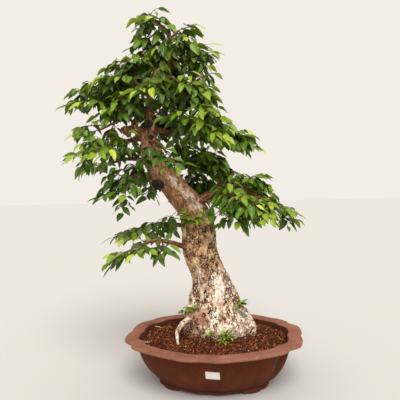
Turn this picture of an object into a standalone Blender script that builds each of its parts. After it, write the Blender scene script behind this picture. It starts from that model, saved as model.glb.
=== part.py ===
"""A Korean hornbeam bonsai in its lobed clay pot, in metres with +Z up.

The trunk, its roots and its limbs are one solid. Every leafy shoot is a solid of its own, seated on the
wood. The shoots' leaves are placed by one rule, with seeded draws, and stay clear of all the other pieces.
Everything is laid out round the middle of the pot, and the whole is then moved so that the world's
origin lies on the ground under the middle of its box.
"""

import math
import random

import bmesh
import bpy
from mathutils import Vector
from mathutils.bvhtree import BVHTree

MM = 0.001
GAP = 0.0003
HOLE_GAP = 0.0004
SEED = 41

# Heights are given from a level over the ground, and the pot's feet reach down to the ground below it
FOOT_DROP = 0.005

# Where the middle of the pot comes to lie, with the origin under the middle of the whole box
POT_PLACE = (0.0755, -0.024, FOOT_DROP)

# Pot
RIM_LENGTH = 0.440
RIM_DEPTH = 0.376
POT_HEIGHT = 0.113
FOOT_HEIGHT = 0.006
UNDERSIDE = FOOT_HEIGHT - FOOT_DROP
FLOOR_THICKNESS = 0.010
FLOOR_TOP = UNDERSIDE + FLOOR_THICKNESS
DRAIN_DIAMETER = 0.018
DRAIN_SPACING = 0.130
FOOT_DEPTH_SHARE = 0.84
FOOT_SPREAD = 1.03

# The quarter of the rim from the middle of an end to the middle of a long side, as shares of the half
# length and the half depth: each side is bowed with a small cusp in its middle, and the corner is notched.
RIM_QUARTER = (
    (0.986, 0.0),
    (1.0, 0.15),
    (0.985, 0.33),
    (0.945, 0.425),
    (0.858, 0.520),
    (0.835, 0.595),
    (0.760, 0.690),
    (0.560, 0.828),
    (0.365, 0.928),
    (0.170, 1.0),
    (0.0, 0.986),
)

# The pot's wall from the underside, up its outside, over the lip and down inside to the floor: half
# length, half depth and height of each level.
POT_LEVELS = (
    (0.133, 0.107, UNDERSIDE),
    (0.145, 0.118, 0.0115),
    (0.1605, 0.1325, 0.0265),
    (0.1775, 0.148, 0.0515),
    (0.187, 0.1555, 0.077),
    (0.193, 0.160, 0.1035),
    (0.216, 0.184, 0.1045),
    (RIM_LENGTH / 2, RIM_DEPTH / 2, 0.1085),
    (0.2165, 0.1845, POT_HEIGHT),
    (0.186, 0.153, POT_HEIGHT),
    (0.184, 0.151, 0.110),
    (0.177, 0.1455, 0.078),
    (0.1505, 0.1225, 0.026),
    (0.131, 0.105, FLOOR_TOP),
)

INNER_LEVEL = 9

# Soil: its height at the wall, and the rise towards the trunk
SOIL_EDGE_HEIGHT = 0.099
SOIL_RISE = 0.009
SOIL_LEVELS = (0.026, 0.054, 0.078)
SOIL_RINGS = (0.94, 0.8, 0.62, 0.42)
SOIL_UNEVENNESS = 0.0012

# Drain screens over the holes
SCREEN_SIDE = 0.034
SCREEN_THICKNESS = 0.0012
SLOT_LENGTH_SHARE = 0.7
SLOT_WIDTH_SHARE = 0.11

# Blank paper label on the front wall
LABEL_LENGTH = 0.0325
LABEL_HEIGHT = 0.0185
LABEL_THICKNESS = 0.0006
LABEL_X = 0.016
LABEL_Z = 0.064
LABEL_COLUMNS = 4

# Trunk: centre and radius of each level, millimetres from the pot's middle
TRUNK = (
    (9, 33, 78, 76),
    (9, 33, 104, 85),
    (4, 35, 138, 83),
    (-1, 34, 167, 74),
    (-2, 34, 191, 64),
    (-6, 34, 215, 58),
    (-11, 33, 241, 51),
    (-19, 32, 267, 44),
    (-30, 30, 301, 43),
    (-36, 29, 333, 44),
    (-38, 29, 366, 43),
    (-42, 28, 400, 41),
    (-54, 25, 430, 38),
    (-73, 19, 456, 35),
    (-93, 14, 481, 32),
    (-112, 9, 507, 31),
    (-129, 4, 533, 29),
    (-145, 0, 561, 28),
    (-155, -4, 589, 24),
    (-158, -7, 604, 17),
)
LEADER = (
    (-149, -3, 572, 18),
    (-152, -5, 602, 18),
    (-148, -6, 622, 16.5),
    (-146, -6, 641, 14),
    (-147, -9, 670, 11.7),
    (-148, -11, 697, 10),
    (-140, -11, 721, 9.4),
    (-124, -11, 745, 8.4),
    (-103, -10, 764, 7.4),
    (-91, -12, 787, 6.4),
    (-87, -15, 815, 5.4),
    (-89, -20, 845, 4.4),
    (-88, -21, 869, 3.4),
)
TRUNK_SIDES = 16
LEADER_SIDES = 8
LIMB_SIDES = 5
BASE_DEPTH_SHARE = 0.80
NEBARI_TOP = 0.300
NEBARI_RIDGE = 0.12
BARK_RIDGE = 0.035
# Ridges round the trunk: how many, where the first one is in radians, and their share of the depth
TRUNK_RIDGES = ((5, 0.8, 0.6), (8, 2.1, 0.4))
TAPER_POWER = 0.8

# Limbs: name, route in millimetres, radii at both ends in millimetres, number of leafy shoots and the
# shoots' reach in millimetres
LIMBS = (
    ("cut_stub", ((-152, -5, 590), (-168, -11, 618), (-184, -19, 633), (-211, -31, 630)),
     (15, 9.5), 0, 0),
    ("stub_twig", ((-178, -18, 632), (-195, -30, 658), (-226, -46, 650), (-262, -60, 632)),
     (4.2, 2.8), 1, 80),
    ("low_left_front", ((-45, 14, 322), (-107, -16, 347), (-143, -36, 353), (-186, -54, 334)),
     (7.5, 3.0), 2, 92),
    ("low_left_back", ((-45, 38, 376), (-120, 47, 388), (-165, 52, 384), (-200, 52, 376)),
     (6.5, 3.0), 2, 92),
    ("left_low", ((-115, 4, 515), (-168, -26, 520), (-190, -44, 512), (-206, -56, 498)),
     (6.5, 3.0), 2, 78),
    ("left_mid_back", ((-140, 6, 552), (-210, 34, 562), (-250, 46, 560), (-280, 50, 550)),
     (7, 3.0), 2, 88),
    ("left_mid_front", ((-170, -13, 612), (-204, -56, 600), (-232, -84, 594), (-252, -98, 586)),
     (7, 3.0), 2, 80),
    ("far_left", ((-146, -8, 668), (-200, -10, 694), (-248, -14, 704), (-286, -20, 702)),
     (6.5, 3.0), 2, 82),
    ("shelf_left", ((-140, -11, 712), (-168, -36, 742), (-188, -52, 752), (-204, -64, 754)),
     (5.5, 2.8), 2, 58),
    ("shelf_left_back", ((-138, -10, 722), (-170, 16, 752), (-198, 34, 764), (-216, 44, 766)),
     (5.5, 2.8), 1, 60),
    ("upper_right", ((-90, -13, 780), (-68, 2, 802), (-46, 14, 810), (-30, 22, 811)),
     (5.4, 2.8), 2, 60),
    ("upper_right_front", ((-102, -10, 764), (-68, -40, 744), (-46, -58, 722), (-30, -70, 698)),
     (5.2, 2.8), 2, 70),
    ("right_mid", ((-146, -6, 636), (-80, 18, 622), (-20, 33, 618), (32, 42, 608)),
     (7, 3.0), 3, 92),
    ("right_mid_front", ((-146, -8, 658), (-90, -42, 652), (-46, -62, 642), (-16, -72, 630)),
     (6.2, 2.8), 2, 80),
    ("right_low_back", ((-115, 8, 520), (-74, 54, 536), (-30, 84, 540), (0, 98, 534)),
     (7, 3.0), 2, 84),
    ("right_pad", ((-60, 20, 425), (-10, 9, 460), (30, 3, 476), (84, 2, 472), (124, 2, 452)),
     (15, 3.4), 3, 92),
    ("right_pad_back", ((-20, 12, 455), (20, 46, 489), (56, 64, 492), (88, 76, 484)),
     (7.5, 3.0), 2, 80),
    ("right_pad_front", ((10, 5, 469), (46, -20, 472), (74, -38, 460), (92, -50, 446)),
     (7, 3.0), 2, 74),
    ("front_mid", ((-150, -8, 600), (-122, -56, 597), (-98, -92, 584), (-84, -112, 568)),
     (6.2, 2.8), 1, 66),
    ("back_mid", ((-149, -4, 640), (-150, 50, 655), (-150, 92, 656), (-146, 116, 650)),
     (6.8, 3.0), 2, 80),
    ("back_upper", ((-106, -8, 762), (-120, 34, 778), (-132, 62, 780), (-140, 78, 776)),
     (5.2, 2.8), 1, 66),
    ("back_right", ((-134, -11, 731), (-118, 16, 742), (-104, 36, 742), (-92, 46, 738)),
     (5.2, 2.8), 1, 92),
    ("back_low", ((-80, 22, 452), (-76, 76, 470), (-71, 114, 474), (-64, 136, 470)),
     (7.5, 3.0), 2, 80),
    ("front_upper", ((-91, -13, 780), (-100, -48, 778), (-108, -72, 764), (-114, -86, 748)),
     (4.8, 2.8), 1, 66),
    ("apex_left", ((-89, -20, 850), (-97, -27, 874), (-110, -36, 884), (-121, -43, 892)),
     (3.6, 2.6), 2, 56),
    ("apex_right", ((-89, -19, 842), (-78, -15, 862), (-68, -10, 872)),
     (3.6, 2.6), 1, 52),
)
EXPOSED_ROOT = (
    (-34, 8, 186, 10),
    (-62, -22, 164, 7),
    (-77, -46, 146, 5.6),
    (-82, -60, 130, 5),
    (-80, -67, 114, 4.6),
    (-77, -70, 92, 4),
)

# Small shoots that grow straight from the trunk: degrees round it from +X, and height, reach and leaf
# length in millimetres
TRUNK_SHOOTS = (
    ("sprout_left", 196, 176, 20, 12),
    ("sprout_left_low", 226, 190, 16, 10),
    ("sprout_right", -14, 178, 20, 12),
    ("sprout_front", -98, 126, 18, 12),
    ("sprout_front_right", -66, 122, 18, 12),
    ("sprout_bend", -80, 404, 40, 24),
)

# Sealed pruning wounds: x and z in millimetres seen from the front, width and height in millimetres
WOUND_SEALS = (
    ("wound_seal_upper", -149, 645, 19, 21),
    ("wound_seal_fork", -143, 612, 13, 11),
    ("wound_seal_side", -122, 500, 26, 24),
)
SEAL_THICKNESS = 0.0012
SEAL_SIDES = 8
# A patch is laid on by rays that start this far in front of the tree
RAY_START = 0.3

# Shoots and leaves
STEM_SIDES = 3
STEM_RADIUS = 0.0020
STEM_TIP_RADIUS = 0.0012
STEM_MARGIN = 1.3
STEM_POINTS = (0.0, 0.06, 0.35, 0.65, 1.0)
# A stem leaves the wood squarely for the first share of its reach, and bends ahead by the second
BEND_SHARES = (0.22, 0.30)
DROOP_SHARE = 0.30
# How a stem is freed from what it meets: gaps above the wood, turns to try and their size
STEM_LIFTS = (1, 2, 3)
STEM_TRIES = 9
STEM_TURN = math.radians(9)
SEAT_REACH = 0.08
# The shoots of a limb: one goes on from its tip, the others leave its last two stretches sideways
LEVEL_RISE = 0.14
SLOPE_SHARE = 0.7
SIDE_SHOOT_PLACE = 0.6
SIDE_SHOOT_SPREAD = math.radians(62)
SIDE_SHOOT_REACH = 0.92
SPROUT_RISE = 0.5
TIP_SHOOT_LEAVES = 6
SIDE_SHOOT_LEAVES = 5
SPROUT_LEAVES = 3
LEAF_LENGTH = 0.030
LEAF_LENGTH_SPREAD = (0.85, 1.12)
LEAF_WIDTH_SHARE = 0.60
LEAF_THICKNESS = 0.0007
LEAF_FOLD = math.radians(24)
LEAF_SPREAD = math.radians(60)
TIP_LEAF_SINK = 0.0025
LEAF_CLEARANCE = 0.0005
LEAF_DROOP = 0.42
LEAF_FOLLOW = 0.4
LEAF_TILT = 0.35
# How far a leaf strays from its rule, at first and more at each further try
LEAF_STRAY = (0.22, 0.04)
LEAF_TRIES = 24
# Where a shoot's leaves grow: share of the stem, and the side they leave on
LEAF_SPOTS = ((1.0, 0), (0.85, 1), (0.69, -1), (0.53, 1), (0.37, -1), (0.22, 1))
# One half of a blade's margin: share of the length from the base, and share of the half width. The
# second point is the notch behind a tooth.
LEAF_MARGIN = ((0.30, 1.0), (0.38, 0.82), (0.66, 0.68))

COLOURS = {
    "clay": ((0.190, 0.070, 0.045), 0.75, 0.0),
    "soil": ((0.075, 0.026, 0.014), 0.95, 0.0),
    "bark": ((0.42, 0.30, 0.20), 0.90, 0.0),
    "leaf": ((0.085, 0.230, 0.028), 0.50, 0.0),
    "seal": ((0.020, 0.018, 0.018), 0.60, 0.0),
    "paper": ((0.82, 0.80, 0.76), 0.60, 0.0),
    "mesh": ((0.030, 0.030, 0.030), 0.50, 0.0),
}


def clear_scene():
    """Remove whatever the file holds."""
    for thing in list(bpy.data.objects):
        bpy.data.objects.remove(thing)


def material(name):
    """A Principled material with one of the part's colours, roughness and metallic values."""
    found = bpy.data.materials.get(name)
    if found:
        return found
    colour, roughness, metallic = COLOURS[name]
    made = bpy.data.materials.new(name)
    made.use_nodes = True
    shader = made.node_tree.nodes["Principled BSDF"]
    shader.inputs["Base Color"].default_value = (*colour, 1.0)
    shader.inputs["Roughness"].default_value = roughness
    shader.inputs["Metallic"].default_value = metallic
    made.diffuse_color = (*colour, 1.0)
    return made


def add_object(name, points, faces, finish):
    """A mesh object with outward faces and one material."""
    mesh = bpy.data.meshes.new(name)
    mesh.from_pydata([tuple(point) for point in points], [], faces)
    made = bpy.data.objects.new(name, mesh)
    bpy.context.collection.objects.link(made)
    shell = bmesh.new()
    shell.from_mesh(mesh)
    bmesh.ops.recalc_face_normals(shell, faces=shell.faces)
    shell.to_mesh(mesh)
    shell.free()
    mesh.materials.append(material(finish))
    return made


def loft(rings):
    """Points and faces of a closed body through rings of equal count, flat at both ends."""
    count = len(rings[0])
    points = [point for ring in rings for point in ring]
    faces = [tuple(reversed(range(count)))]
    for level in range(len(rings) - 1):
        low = level * count
        for k in range(count):
            after = (k + 1) % count
            faces.append((low + k, low + after, low + count + after, low + count + k))
    last = (len(rings) - 1) * count
    faces.append(tuple(range(last, last + count)))
    return points, faces


def frames_along(points, side=None):
    """A place and two cross directions at each point of a route, turned as little as possible."""
    frames = []
    for i, point in enumerate(points):
        before = points[max(i - 1, 0)]
        after = points[min(i + 1, len(points) - 1)]
        along = (after - before).normalized()
        if side is None:
            side = along.orthogonal()
        side = (side - along * side.dot(along)).normalized()
        frames.append((point, side, along.cross(side)))
    return frames


def tube(points, radii, sides):
    """Points and faces of a round stem along a route."""
    rings = []
    for (point, across, upward), radius in zip(frames_along(points), radii):
        ring = []
        for k in range(sides):
            angle = math.tau * k / sides
            ring.append(point + (across * math.cos(angle) + upward * math.sin(angle)) * radius)
        rings.append(ring)
    return loft(rings)


def main_body(mesh):
    """Keep the largest connected body of a mesh, without scraps and sealed hollows."""
    shell = bmesh.new()
    shell.from_mesh(mesh)
    left = set(shell.faces)
    bodies = []
    while left:
        start = left.pop()
        body = [start]
        queue = [start]
        while queue:
            face = queue.pop()
            for edge in face.edges:
                for other in edge.link_faces:
                    if other in left:
                        left.remove(other)
                        body.append(other)
                        queue.append(other)
        bodies.append(body)
    bodies.sort(key=lambda body: sum(face.calc_area() for face in body))
    for body in bodies[:-1]:
        bmesh.ops.delete(shell, geom=body, context="FACES")
    shell.to_mesh(mesh)
    shell.free()


def combine(target, others, operation):
    """Join others to the target, or cut them from it, by one Boolean on a collection."""
    if not others:
        return
    group = bpy.data.collections.new(target.name + "_parts")
    bpy.context.scene.collection.children.link(group)
    for other in others:
        for owner in list(other.users_collection):
            owner.objects.unlink(other)
        group.objects.link(other)
    join = target.modifiers.new("join", "BOOLEAN")
    join.operation = operation
    join.operand_type = "COLLECTION"
    join.collection = group
    join.solver = "EXACT"
    evaluated = target.evaluated_get(bpy.context.evaluated_depsgraph_get())
    mesh = bpy.data.meshes.new_from_object(evaluated)
    target.modifiers.clear()
    old = target.data
    target.data = mesh
    bpy.data.meshes.remove(old)
    for other in others:
        bpy.data.objects.remove(other)
    bpy.data.collections.remove(group)
    main_body(mesh)
    finish = mesh.materials[0]
    mesh.materials.clear()
    mesh.materials.append(finish)


def rim_shares():
    """The whole outline as shares, counter-clockwise from the middle of the right end."""
    first = list(RIM_QUARTER)
    second = [(-x, y) for x, y in reversed(first[:-1])]
    half = first + second
    return half + [(x, -y) for x, y in reversed(half[1:-1])]


def outline(half_length, half_depth, height):
    """The pot's lobed outline at one level."""
    return [Vector((x * half_length, y * half_depth, height)) for x, y in rim_shares()]


def foot(sign_x, sign_y):
    """A bracket foot that follows the base round one notched corner."""
    half_length, half_depth, height = POT_LEVELS[0]
    corner = RIM_QUARTER[2:8]
    rings = []
    for level, spread in ((-FOOT_DROP, FOOT_SPREAD), (height + FLOOR_THICKNESS / 2, 1.0)):
        outer = [(x * spread * half_length, y * spread * half_depth) for x, y in corner]
        inner = [(x * FOOT_DEPTH_SHARE * half_length, y * FOOT_DEPTH_SHARE * half_depth) for x, y in corner]
        plan = outer + inner[::-1]
        rings.append([Vector((sign_x * x, sign_y * y, level)) for x, y in plan])
    return add_object("foot", *loft(rings), "clay")


def cylinder(centre, radius, low, high, sides=12):
    """An upright cylinder."""
    rings = []
    for height in (low, high):
        ring = []
        for k in range(sides):
            angle = math.tau * k / sides
            ring.append(Vector((centre + radius * math.cos(angle), radius * math.sin(angle), height)))
        rings.append(ring)
    return add_object("cutter", *loft(rings), "clay")


def make_pot():
    """The clay pot: base, bowed wall, broad lip, four feet and two drain holes."""
    pot = add_object("pot", *loft([outline(*level) for level in POT_LEVELS]), "clay")
    combine(pot, [foot(x, y) for x in (-1, 1) for y in (-1, 1)], "UNION")
    low, high = UNDERSIDE - FOOT_HEIGHT / 2, FLOOR_TOP + FOOT_HEIGHT / 2
    holes = []
    for side in (-1, 1):
        middle = side * DRAIN_SPACING / 2
        holes.append(cylinder(middle, DRAIN_DIAMETER / 2, low, high))
    combine(pot, holes, "DIFFERENCE")
    return pot


def block(name, centre, size, finish):
    """A plain box."""
    corners = []
    for z in (-0.5, 0.5):
        for x, y in ((-0.5, -0.5), (0.5, -0.5), (0.5, 0.5), (-0.5, 0.5)):
            corners.append(centre + Vector((x * size[0], y * size[1], z * size[2])))
    return add_object(name, *loft([corners[:4], corners[4:]]), finish)


def screen_block(name, side, grow):
    """A plain block where a drain screen lies on the pot's floor, grown outwards by a clearance."""
    middle = Vector((side * DRAIN_SPACING / 2, 0, FLOOR_TOP + GAP + SCREEN_THICKNESS / 2))
    across = SCREEN_SIDE + 2 * grow
    return block(name, middle, (across, across, SCREEN_THICKNESS + 2 * grow), "mesh")


def make_screens():
    """A slotted screen over each drain hole."""
    for side, name in ((-1, "drain_screen_left"), (1, "drain_screen_right")):
        screen = screen_block(name, side, 0.0)
        slots = []
        size = (SCREEN_SIDE * SLOT_LENGTH_SHARE, SCREEN_SIDE * SLOT_WIDTH_SHARE, FLOOR_THICKNESS)
        for k in (-1, 0, 1):
            place = Vector((side * DRAIN_SPACING / 2, k * SCREEN_SIDE / 4, FLOOR_TOP))
            slots.append(block("slot", place, size, "mesh"))
        combine(screen, slots, "DIFFERENCE")


def wall_inside(height):
    """Half length and half depth of the pot's inside at a height."""
    inside = POT_LEVELS[INNER_LEVEL:]
    for upper, lower in zip(inside, inside[1:]):
        if lower[2] <= height <= upper[2]:
            share = (height - lower[2]) / (upper[2] - lower[2])
            length = lower[0] + share * (upper[0] - lower[0])
            depth = lower[1] + share * (upper[1] - lower[1])
            return length, depth
    return inside[-1][0], inside[-1][1]


def make_soil(cutters):
    """The soil, which fills the pot, rises to the trunk and holds it in a plain hole."""
    draws = random.Random(SEED)
    rings = []
    for height in (FLOOR_TOP + GAP, *SOIL_LEVELS, SOIL_EDGE_HEIGHT):
        length, depth = wall_inside(height)
        rings.append(outline(length - 2 * GAP, depth - 2 * GAP, height))
    edge = rings[-1]
    for share in SOIL_RINGS:
        ring = []
        for point in edge:
            rise = SOIL_RISE * (1 - share) + draws.uniform(-1, 1) * SOIL_UNEVENNESS
            ring.append(Vector((point.x * share, point.y * share, SOIL_EDGE_HEIGHT + rise)))
        rings.append(ring)
    soil = add_object("soil", *loft(rings), "soil")
    combine(soil, cutters, "DIFFERENCE")
    return soil


def root_flare(height):
    """How much of the root flare shows at a height: all of it at the soil, none at its top."""
    return min(max((NEBARI_TOP - height) / (NEBARI_TOP - SOIL_EDGE_HEIGHT), 0.0), 1.0)


def trunk_radius(radius, angle, height):
    """Radius of the trunk's ridged section at an angle, with deeper ridges at the root flare."""
    ridge = BARK_RIDGE + (NEBARI_RIDGE - BARK_RIDGE) * root_flare(height)
    height_share = sum(share * math.cos(count * angle + turn) for count, turn, share in TRUNK_RIDGES)
    return radius * (1 + ridge * (height_share - 0.3))


def trunk_rings(grow):
    """The trunk's rings of points, grown outwards by a clearance and less deep at the root flare."""
    centres = [Vector(level[:3]) * MM for level in TRUNK]
    rings = []
    for (centre, across, inward), level in zip(frames_along(centres, Vector((1, 0, 0))), TRUNK):
        depth_share = 1 - (1 - BASE_DEPTH_SHARE) * root_flare(centre.z)
        ring = []
        for k in range(TRUNK_SIDES):
            angle = math.tau * k / TRUNK_SIDES
            radius = trunk_radius(level[3] * MM, angle, centre.z) + grow
            out = across * math.cos(angle) + inward * math.sin(angle) * depth_share
            ring.append(centre + out * radius)
        rings.append(ring)
    for point in rings[0]:
        point.z = centres[0].z - grow
    return rings


def taper(first, last, count):
    """Radii from one end of a limb to the other, in metres."""
    return [(first + (last - first) * (k / (count - 1)) ** TAPER_POWER) * MM for k in range(count)]


def root_body(name, grow):
    """The thin exposed root that leaves the trunk on the left and runs down into the soil."""
    points = [Vector(level[:3]) * MM for level in EXPOSED_ROOT]
    radii = [level[3] * MM + grow for level in EXPOSED_ROOT]
    points[-1] += (points[-1] - points[-2]).normalized() * grow
    return add_object(name, *tube(points, radii, LIMB_SIDES), "bark")


def make_trunk():
    """The trunk, leader, limbs and exposed root, grown together as one solid."""
    trunk = add_object("trunk", *loft(trunk_rings(0.0)), "bark")
    parts = [root_body("root", 0.0)]
    leader = [Vector(level[:3]) * MM for level in LEADER]
    radii = [level[3] * MM for level in LEADER]
    parts.append(add_object("leader", *tube(leader, radii, LEADER_SIDES), "bark"))
    for name, corners, (first, last), _, _ in LIMBS:
        route = [Vector(corner) * MM for corner in corners]
        parts.append(add_object(name, *tube(route, taper(first, last, len(route)), LIMB_SIDES), "bark"))
    combine(trunk, parts, "UNION")
    return trunk


def soil_cutters():
    """The trunk's foot, the root's tip and the screens, grown by the gap, to cut their room in the soil."""
    trunk_foot = add_object("foot_hole", *loft(trunk_rings(HOLE_GAP)[:4]), "soil")
    recesses = [screen_block("recess", side, HOLE_GAP) for side in (-1, 1)]
    return [trunk_foot, root_body("root_hole", HOLE_GAP), *recesses]


def tree_of(thing):
    """A search tree over an object's mesh."""
    shell = bmesh.new()
    shell.from_mesh(thing.data)
    tree = BVHTree.FromBMesh(shell)
    shell.free()
    return tree


class Obstacles:
    """Placed bodies, each with a centre and a reach, that a new body has to stay clear of."""

    def __init__(self):
        self.bodies = []

    def add(self, owner, points, faces):
        middle = sum(points, Vector()) / len(points)
        reach = max((point - middle).length for point in points)
        self.bodies.append((owner, middle, reach, BVHTree.FromPolygons(points, faces)))

    def meets(self, points, faces, skip=None):
        middle = sum(points, Vector()) / len(points)
        reach = max((point - middle).length for point in points)
        tree = BVHTree.FromPolygons(points, faces)
        for owner, place, size, other in self.bodies:
            if owner == skip or (place - middle).length > reach + size:
                continue
            if tree.overlap(other):
                return True
        return False


def blade(base, along, face, length, grow=0.0):
    """Points and faces of a thin leaf, folded up along its midrib, with a toothed margin."""
    across = along.cross(face).normalized()
    face = across.cross(along).normalized()
    base = base - along * grow
    length = length + 2 * grow
    half_width = length * LEAF_WIDTH_SHARE / 2 + grow
    thickness = LEAF_THICKNESS + 2 * grow
    upper = [base, base + along * length]
    for side in (1, -1):
        for share, width in LEAF_MARGIN:
            out = across * math.cos(LEAF_FOLD) * side + face * math.sin(LEAF_FOLD)
            upper.append(base + along * share * length + out * width * half_width)
    upper = [point + face * thickness / 2 for point in upper]
    lower = [point - face * thickness for point in upper]
    count = len(upper)
    steps = len(LEAF_MARGIN)
    faces = []
    for side in (0, 1):
        half = [0, *range(2 + side * steps, 2 + (side + 1) * steps), 1]
        if side == 1:
            half.reverse()
        faces.append(tuple(half))
        faces.append(tuple(k + count for k in reversed(half)))
        for a, b in zip(half, half[1:]):
            faces.append((a, a + count, b + count, b))
    return upper + lower, faces


def curve_point(ends, share):
    """A point on the curve of a stem given by its seat, its bend and its tip."""
    seat, bend, tip = ends
    return seat * (1 - share) ** 2 + bend * 2 * share * (1 - share) + tip * share**2


def curve_along(ends, share):
    """The direction of that curve."""
    seat, bend, tip = ends
    return ((bend - seat) * (1 - share) + (tip - bend) * share).normalized()


def turned(direction, angle):
    """A direction turned about the vertical."""
    cos, sin = math.cos(angle), math.sin(angle)
    x, y, z = direction
    return Vector((x * cos - y * sin, x * sin + y * cos, z))


def seat_on(tree, aim, outward):
    """The place on the wood that a ray meets on its way back to aim, and the way its face looks."""
    place, facing, _, _ = tree.ray_cast(aim + outward * SEAT_REACH, -outward)
    return place, facing


def stem_curve(start, facing, heading, reach):
    """A shoot's stem as start, bend and tip: it leaves the wood squarely and then droops."""
    out, ahead = BEND_SHARES
    tip = start + heading * reach + Vector((0, 0, -DROOP_SHARE * reach))
    return start, start + (facing * out + heading * ahead) * reach, tip


def stem_body(ends, size):
    """Points and faces of a shoot's stem."""
    points = [curve_point(ends, share) for share in STEM_POINTS]
    points[1] = points[0] + (ends[1] - ends[0]).normalized() * (points[1] - points[0]).length
    radii = [(STEM_RADIUS + (STEM_TIP_RADIUS - STEM_RADIUS) * share) * size for share in STEM_POINTS]
    return tube(points, radii, STEM_SIDES)


def stem_place(ends, share):
    """The place on the stem's straight pieces at a share of its curve."""
    for low, high in zip(STEM_POINTS, STEM_POINTS[1:]):
        if share <= high:
            part = (share - low) / (high - low)
            return curve_point(ends, low).lerp(curve_point(ends, high), part)


def leaf_place(ends, spot, draws, attempt):
    """A leaf's base, its length's direction and its face, looser at each try."""
    share, side = spot
    along = curve_along(ends, share)
    stray = LEAF_STRAY[0] + LEAF_STRAY[1] * attempt
    way = turned(along, side * LEAF_SPREAD + draws.uniform(-1, 1) * stray)
    way.z = LEAF_FOLLOW * along.z - LEAF_DROOP + draws.uniform(-1, 1) * stray
    way.normalize()
    face = Vector((draws.uniform(-1, 1) * LEAF_TILT, draws.uniform(-1, 1) * LEAF_TILT, 1.0))
    face = (face - way * face.dot(way)).normalized()
    base = stem_place(ends, share)
    if side == 0:
        base -= along * TIP_LEAF_SINK
    return base, way, face


def make_shoot(name, ends, size, leaf_length, count, obstacles, draws):
    """One leafy shoot: its stem and leaves, joined in one solid."""
    shoot = add_object(name, *stem_body(ends, size), "leaf")
    parts = []
    for spot in LEAF_SPOTS[:count]:
        for attempt in range(LEAF_TRIES):
            length = leaf_length * draws.uniform(*LEAF_LENGTH_SPREAD)
            base, way, face = leaf_place(ends, spot, draws, attempt)
            if obstacles.meets(*blade(base, way, face, length, LEAF_CLEARANCE), skip=name):
                continue
            points, faces = blade(base, way, face, length)
            obstacles.add(name + "_leaf", points, faces)
            parts.append(add_object("leaf", points, faces, "leaf"))
            break
    combine(shoot, parts, "UNION")
    return shoot


def limb_shoots():
    """Each limb's shoots: name, the place they aim from, the way out of the wood, heading and reach."""
    shoots = []
    for name, corners, _, count, reach in LIMBS:
        route = [Vector(corner) * MM for corner in corners]
        end_way = (route[-1] - route[-2]).normalized()
        ahead = Vector((end_way.x, end_way.y, 0)).normalized()
        ahead.z = LEVEL_RISE + SLOPE_SHARE * end_way.z
        for k in range(count):
            label = f"{name}_{'abc'[k]}"
            if k == 0:
                shoots.append((label, route[-1], end_way, ahead, reach * MM))
                continue
            side, before, after = (1, route[-2], route[-1]) if k == 1 else (-1, route[-3], route[-2])
            axis = (after - before).normalized()
            heading = turned(ahead, side * SIDE_SHOOT_SPREAD)
            outward = (heading - axis * heading.dot(axis)).normalized()
            place = before.lerp(after, SIDE_SHOOT_PLACE)
            shoots.append((label, place, outward, heading, reach * MM * SIDE_SHOOT_REACH))
    return shoots


def clear_stem(label, seat, facing, heading, reach, size, obstacles):
    """A stem's curve, lifted and turned as little as clears the wood and the other stems."""
    for lift in STEM_LIFTS:
        for step in range(STEM_TRIES):
            turn = (step + 1) // 2 * STEM_TURN * (1 if step % 2 else -1)
            ends = stem_curve(seat + facing * GAP * lift, facing, turned(heading, turn), reach)
            if not obstacles.meets(*stem_body(ends, size)):
                obstacles.add(label, *stem_body(ends, size * STEM_MARGIN))
                return ends
    raise ValueError(f"{label} finds no clear way out of the wood")


def plan_shoots(trunk_tree, obstacles):
    """Name, curve, thickness, leaf length and leaf count of every shoot."""
    plans = []
    for label, aim, outward, heading, reach in limb_shoots():
        seat, facing = seat_on(trunk_tree, aim, outward)
        ends = clear_stem(label, seat, facing, heading, reach, 1.0, obstacles)
        count = TIP_SHOOT_LEAVES if label.endswith("_a") else SIDE_SHOOT_LEAVES
        plans.append((label, ends, 1.0, LEAF_LENGTH, count))
    for label, degrees, height, reach, length in TRUNK_SHOOTS:
        angle = math.radians(degrees)
        outward = Vector((math.cos(angle), math.sin(angle), 0))
        middle = min(TRUNK, key=lambda level: abs(level[2] - height))
        aim = Vector((middle[0], middle[1], height)) * MM + outward * middle[3] * MM
        seat, facing = seat_on(trunk_tree, aim, outward)
        heading = Vector((facing.x, facing.y, SPROUT_RISE)).normalized()
        size = length / (LEAF_LENGTH / MM) * 0.6 + 0.4
        ends = clear_stem(label, seat, facing, heading, reach * MM, size, obstacles)
        plans.append((label, ends, size, length * MM, SPROUT_LEAVES))
    return plans


def make_shoots(trunk, others):
    """All the leafy shoots. Stems come first, so that no leaf lands on a stem made later."""
    draws = random.Random(SEED)
    obstacles = Obstacles()
    for thing in (trunk, *others):
        points = [vertex.co.copy() for vertex in thing.data.vertices]
        obstacles.add(thing.name, points, [tuple(face.vertices) for face in thing.data.polygons])
    plans = plan_shoots(tree_of(trunk), obstacles)
    return [make_shoot(*plan, obstacles, draws) for plan in plans]


def laid_patch(name, target, rim, thickness, finish):
    """A thin patch that lies on a piece's front, with its middle and rim given as x and z."""
    tree = tree_of(target)
    middle = sum(rim, Vector()) / len(rim)
    ahead = Vector((0, 1, 0))
    back = []
    for point in (middle, *rim):
        place, _, _, _ = tree.ray_cast(Vector((point.x, -RAY_START, point.z)), ahead)
        back.append(place)
    count = len(rim)
    faces = []
    for k in range(count):
        after = (k + 1) % count
        low, high, top = 1 + k, 1 + after, count + 1
        faces += [(0, low, high), (top, top + high, top + low)]
        faces += [(low, top + low, top + high), (low, top + high, high)]
    shift = GAP
    while True:
        points = [point - ahead * shift for point in back]
        points += [point - ahead * thickness for point in points]
        if not tree.overlap(BVHTree.FromPolygons(points, faces)):
            break
        shift += GAP / 3
    return add_object(name, points, faces, finish)


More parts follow.
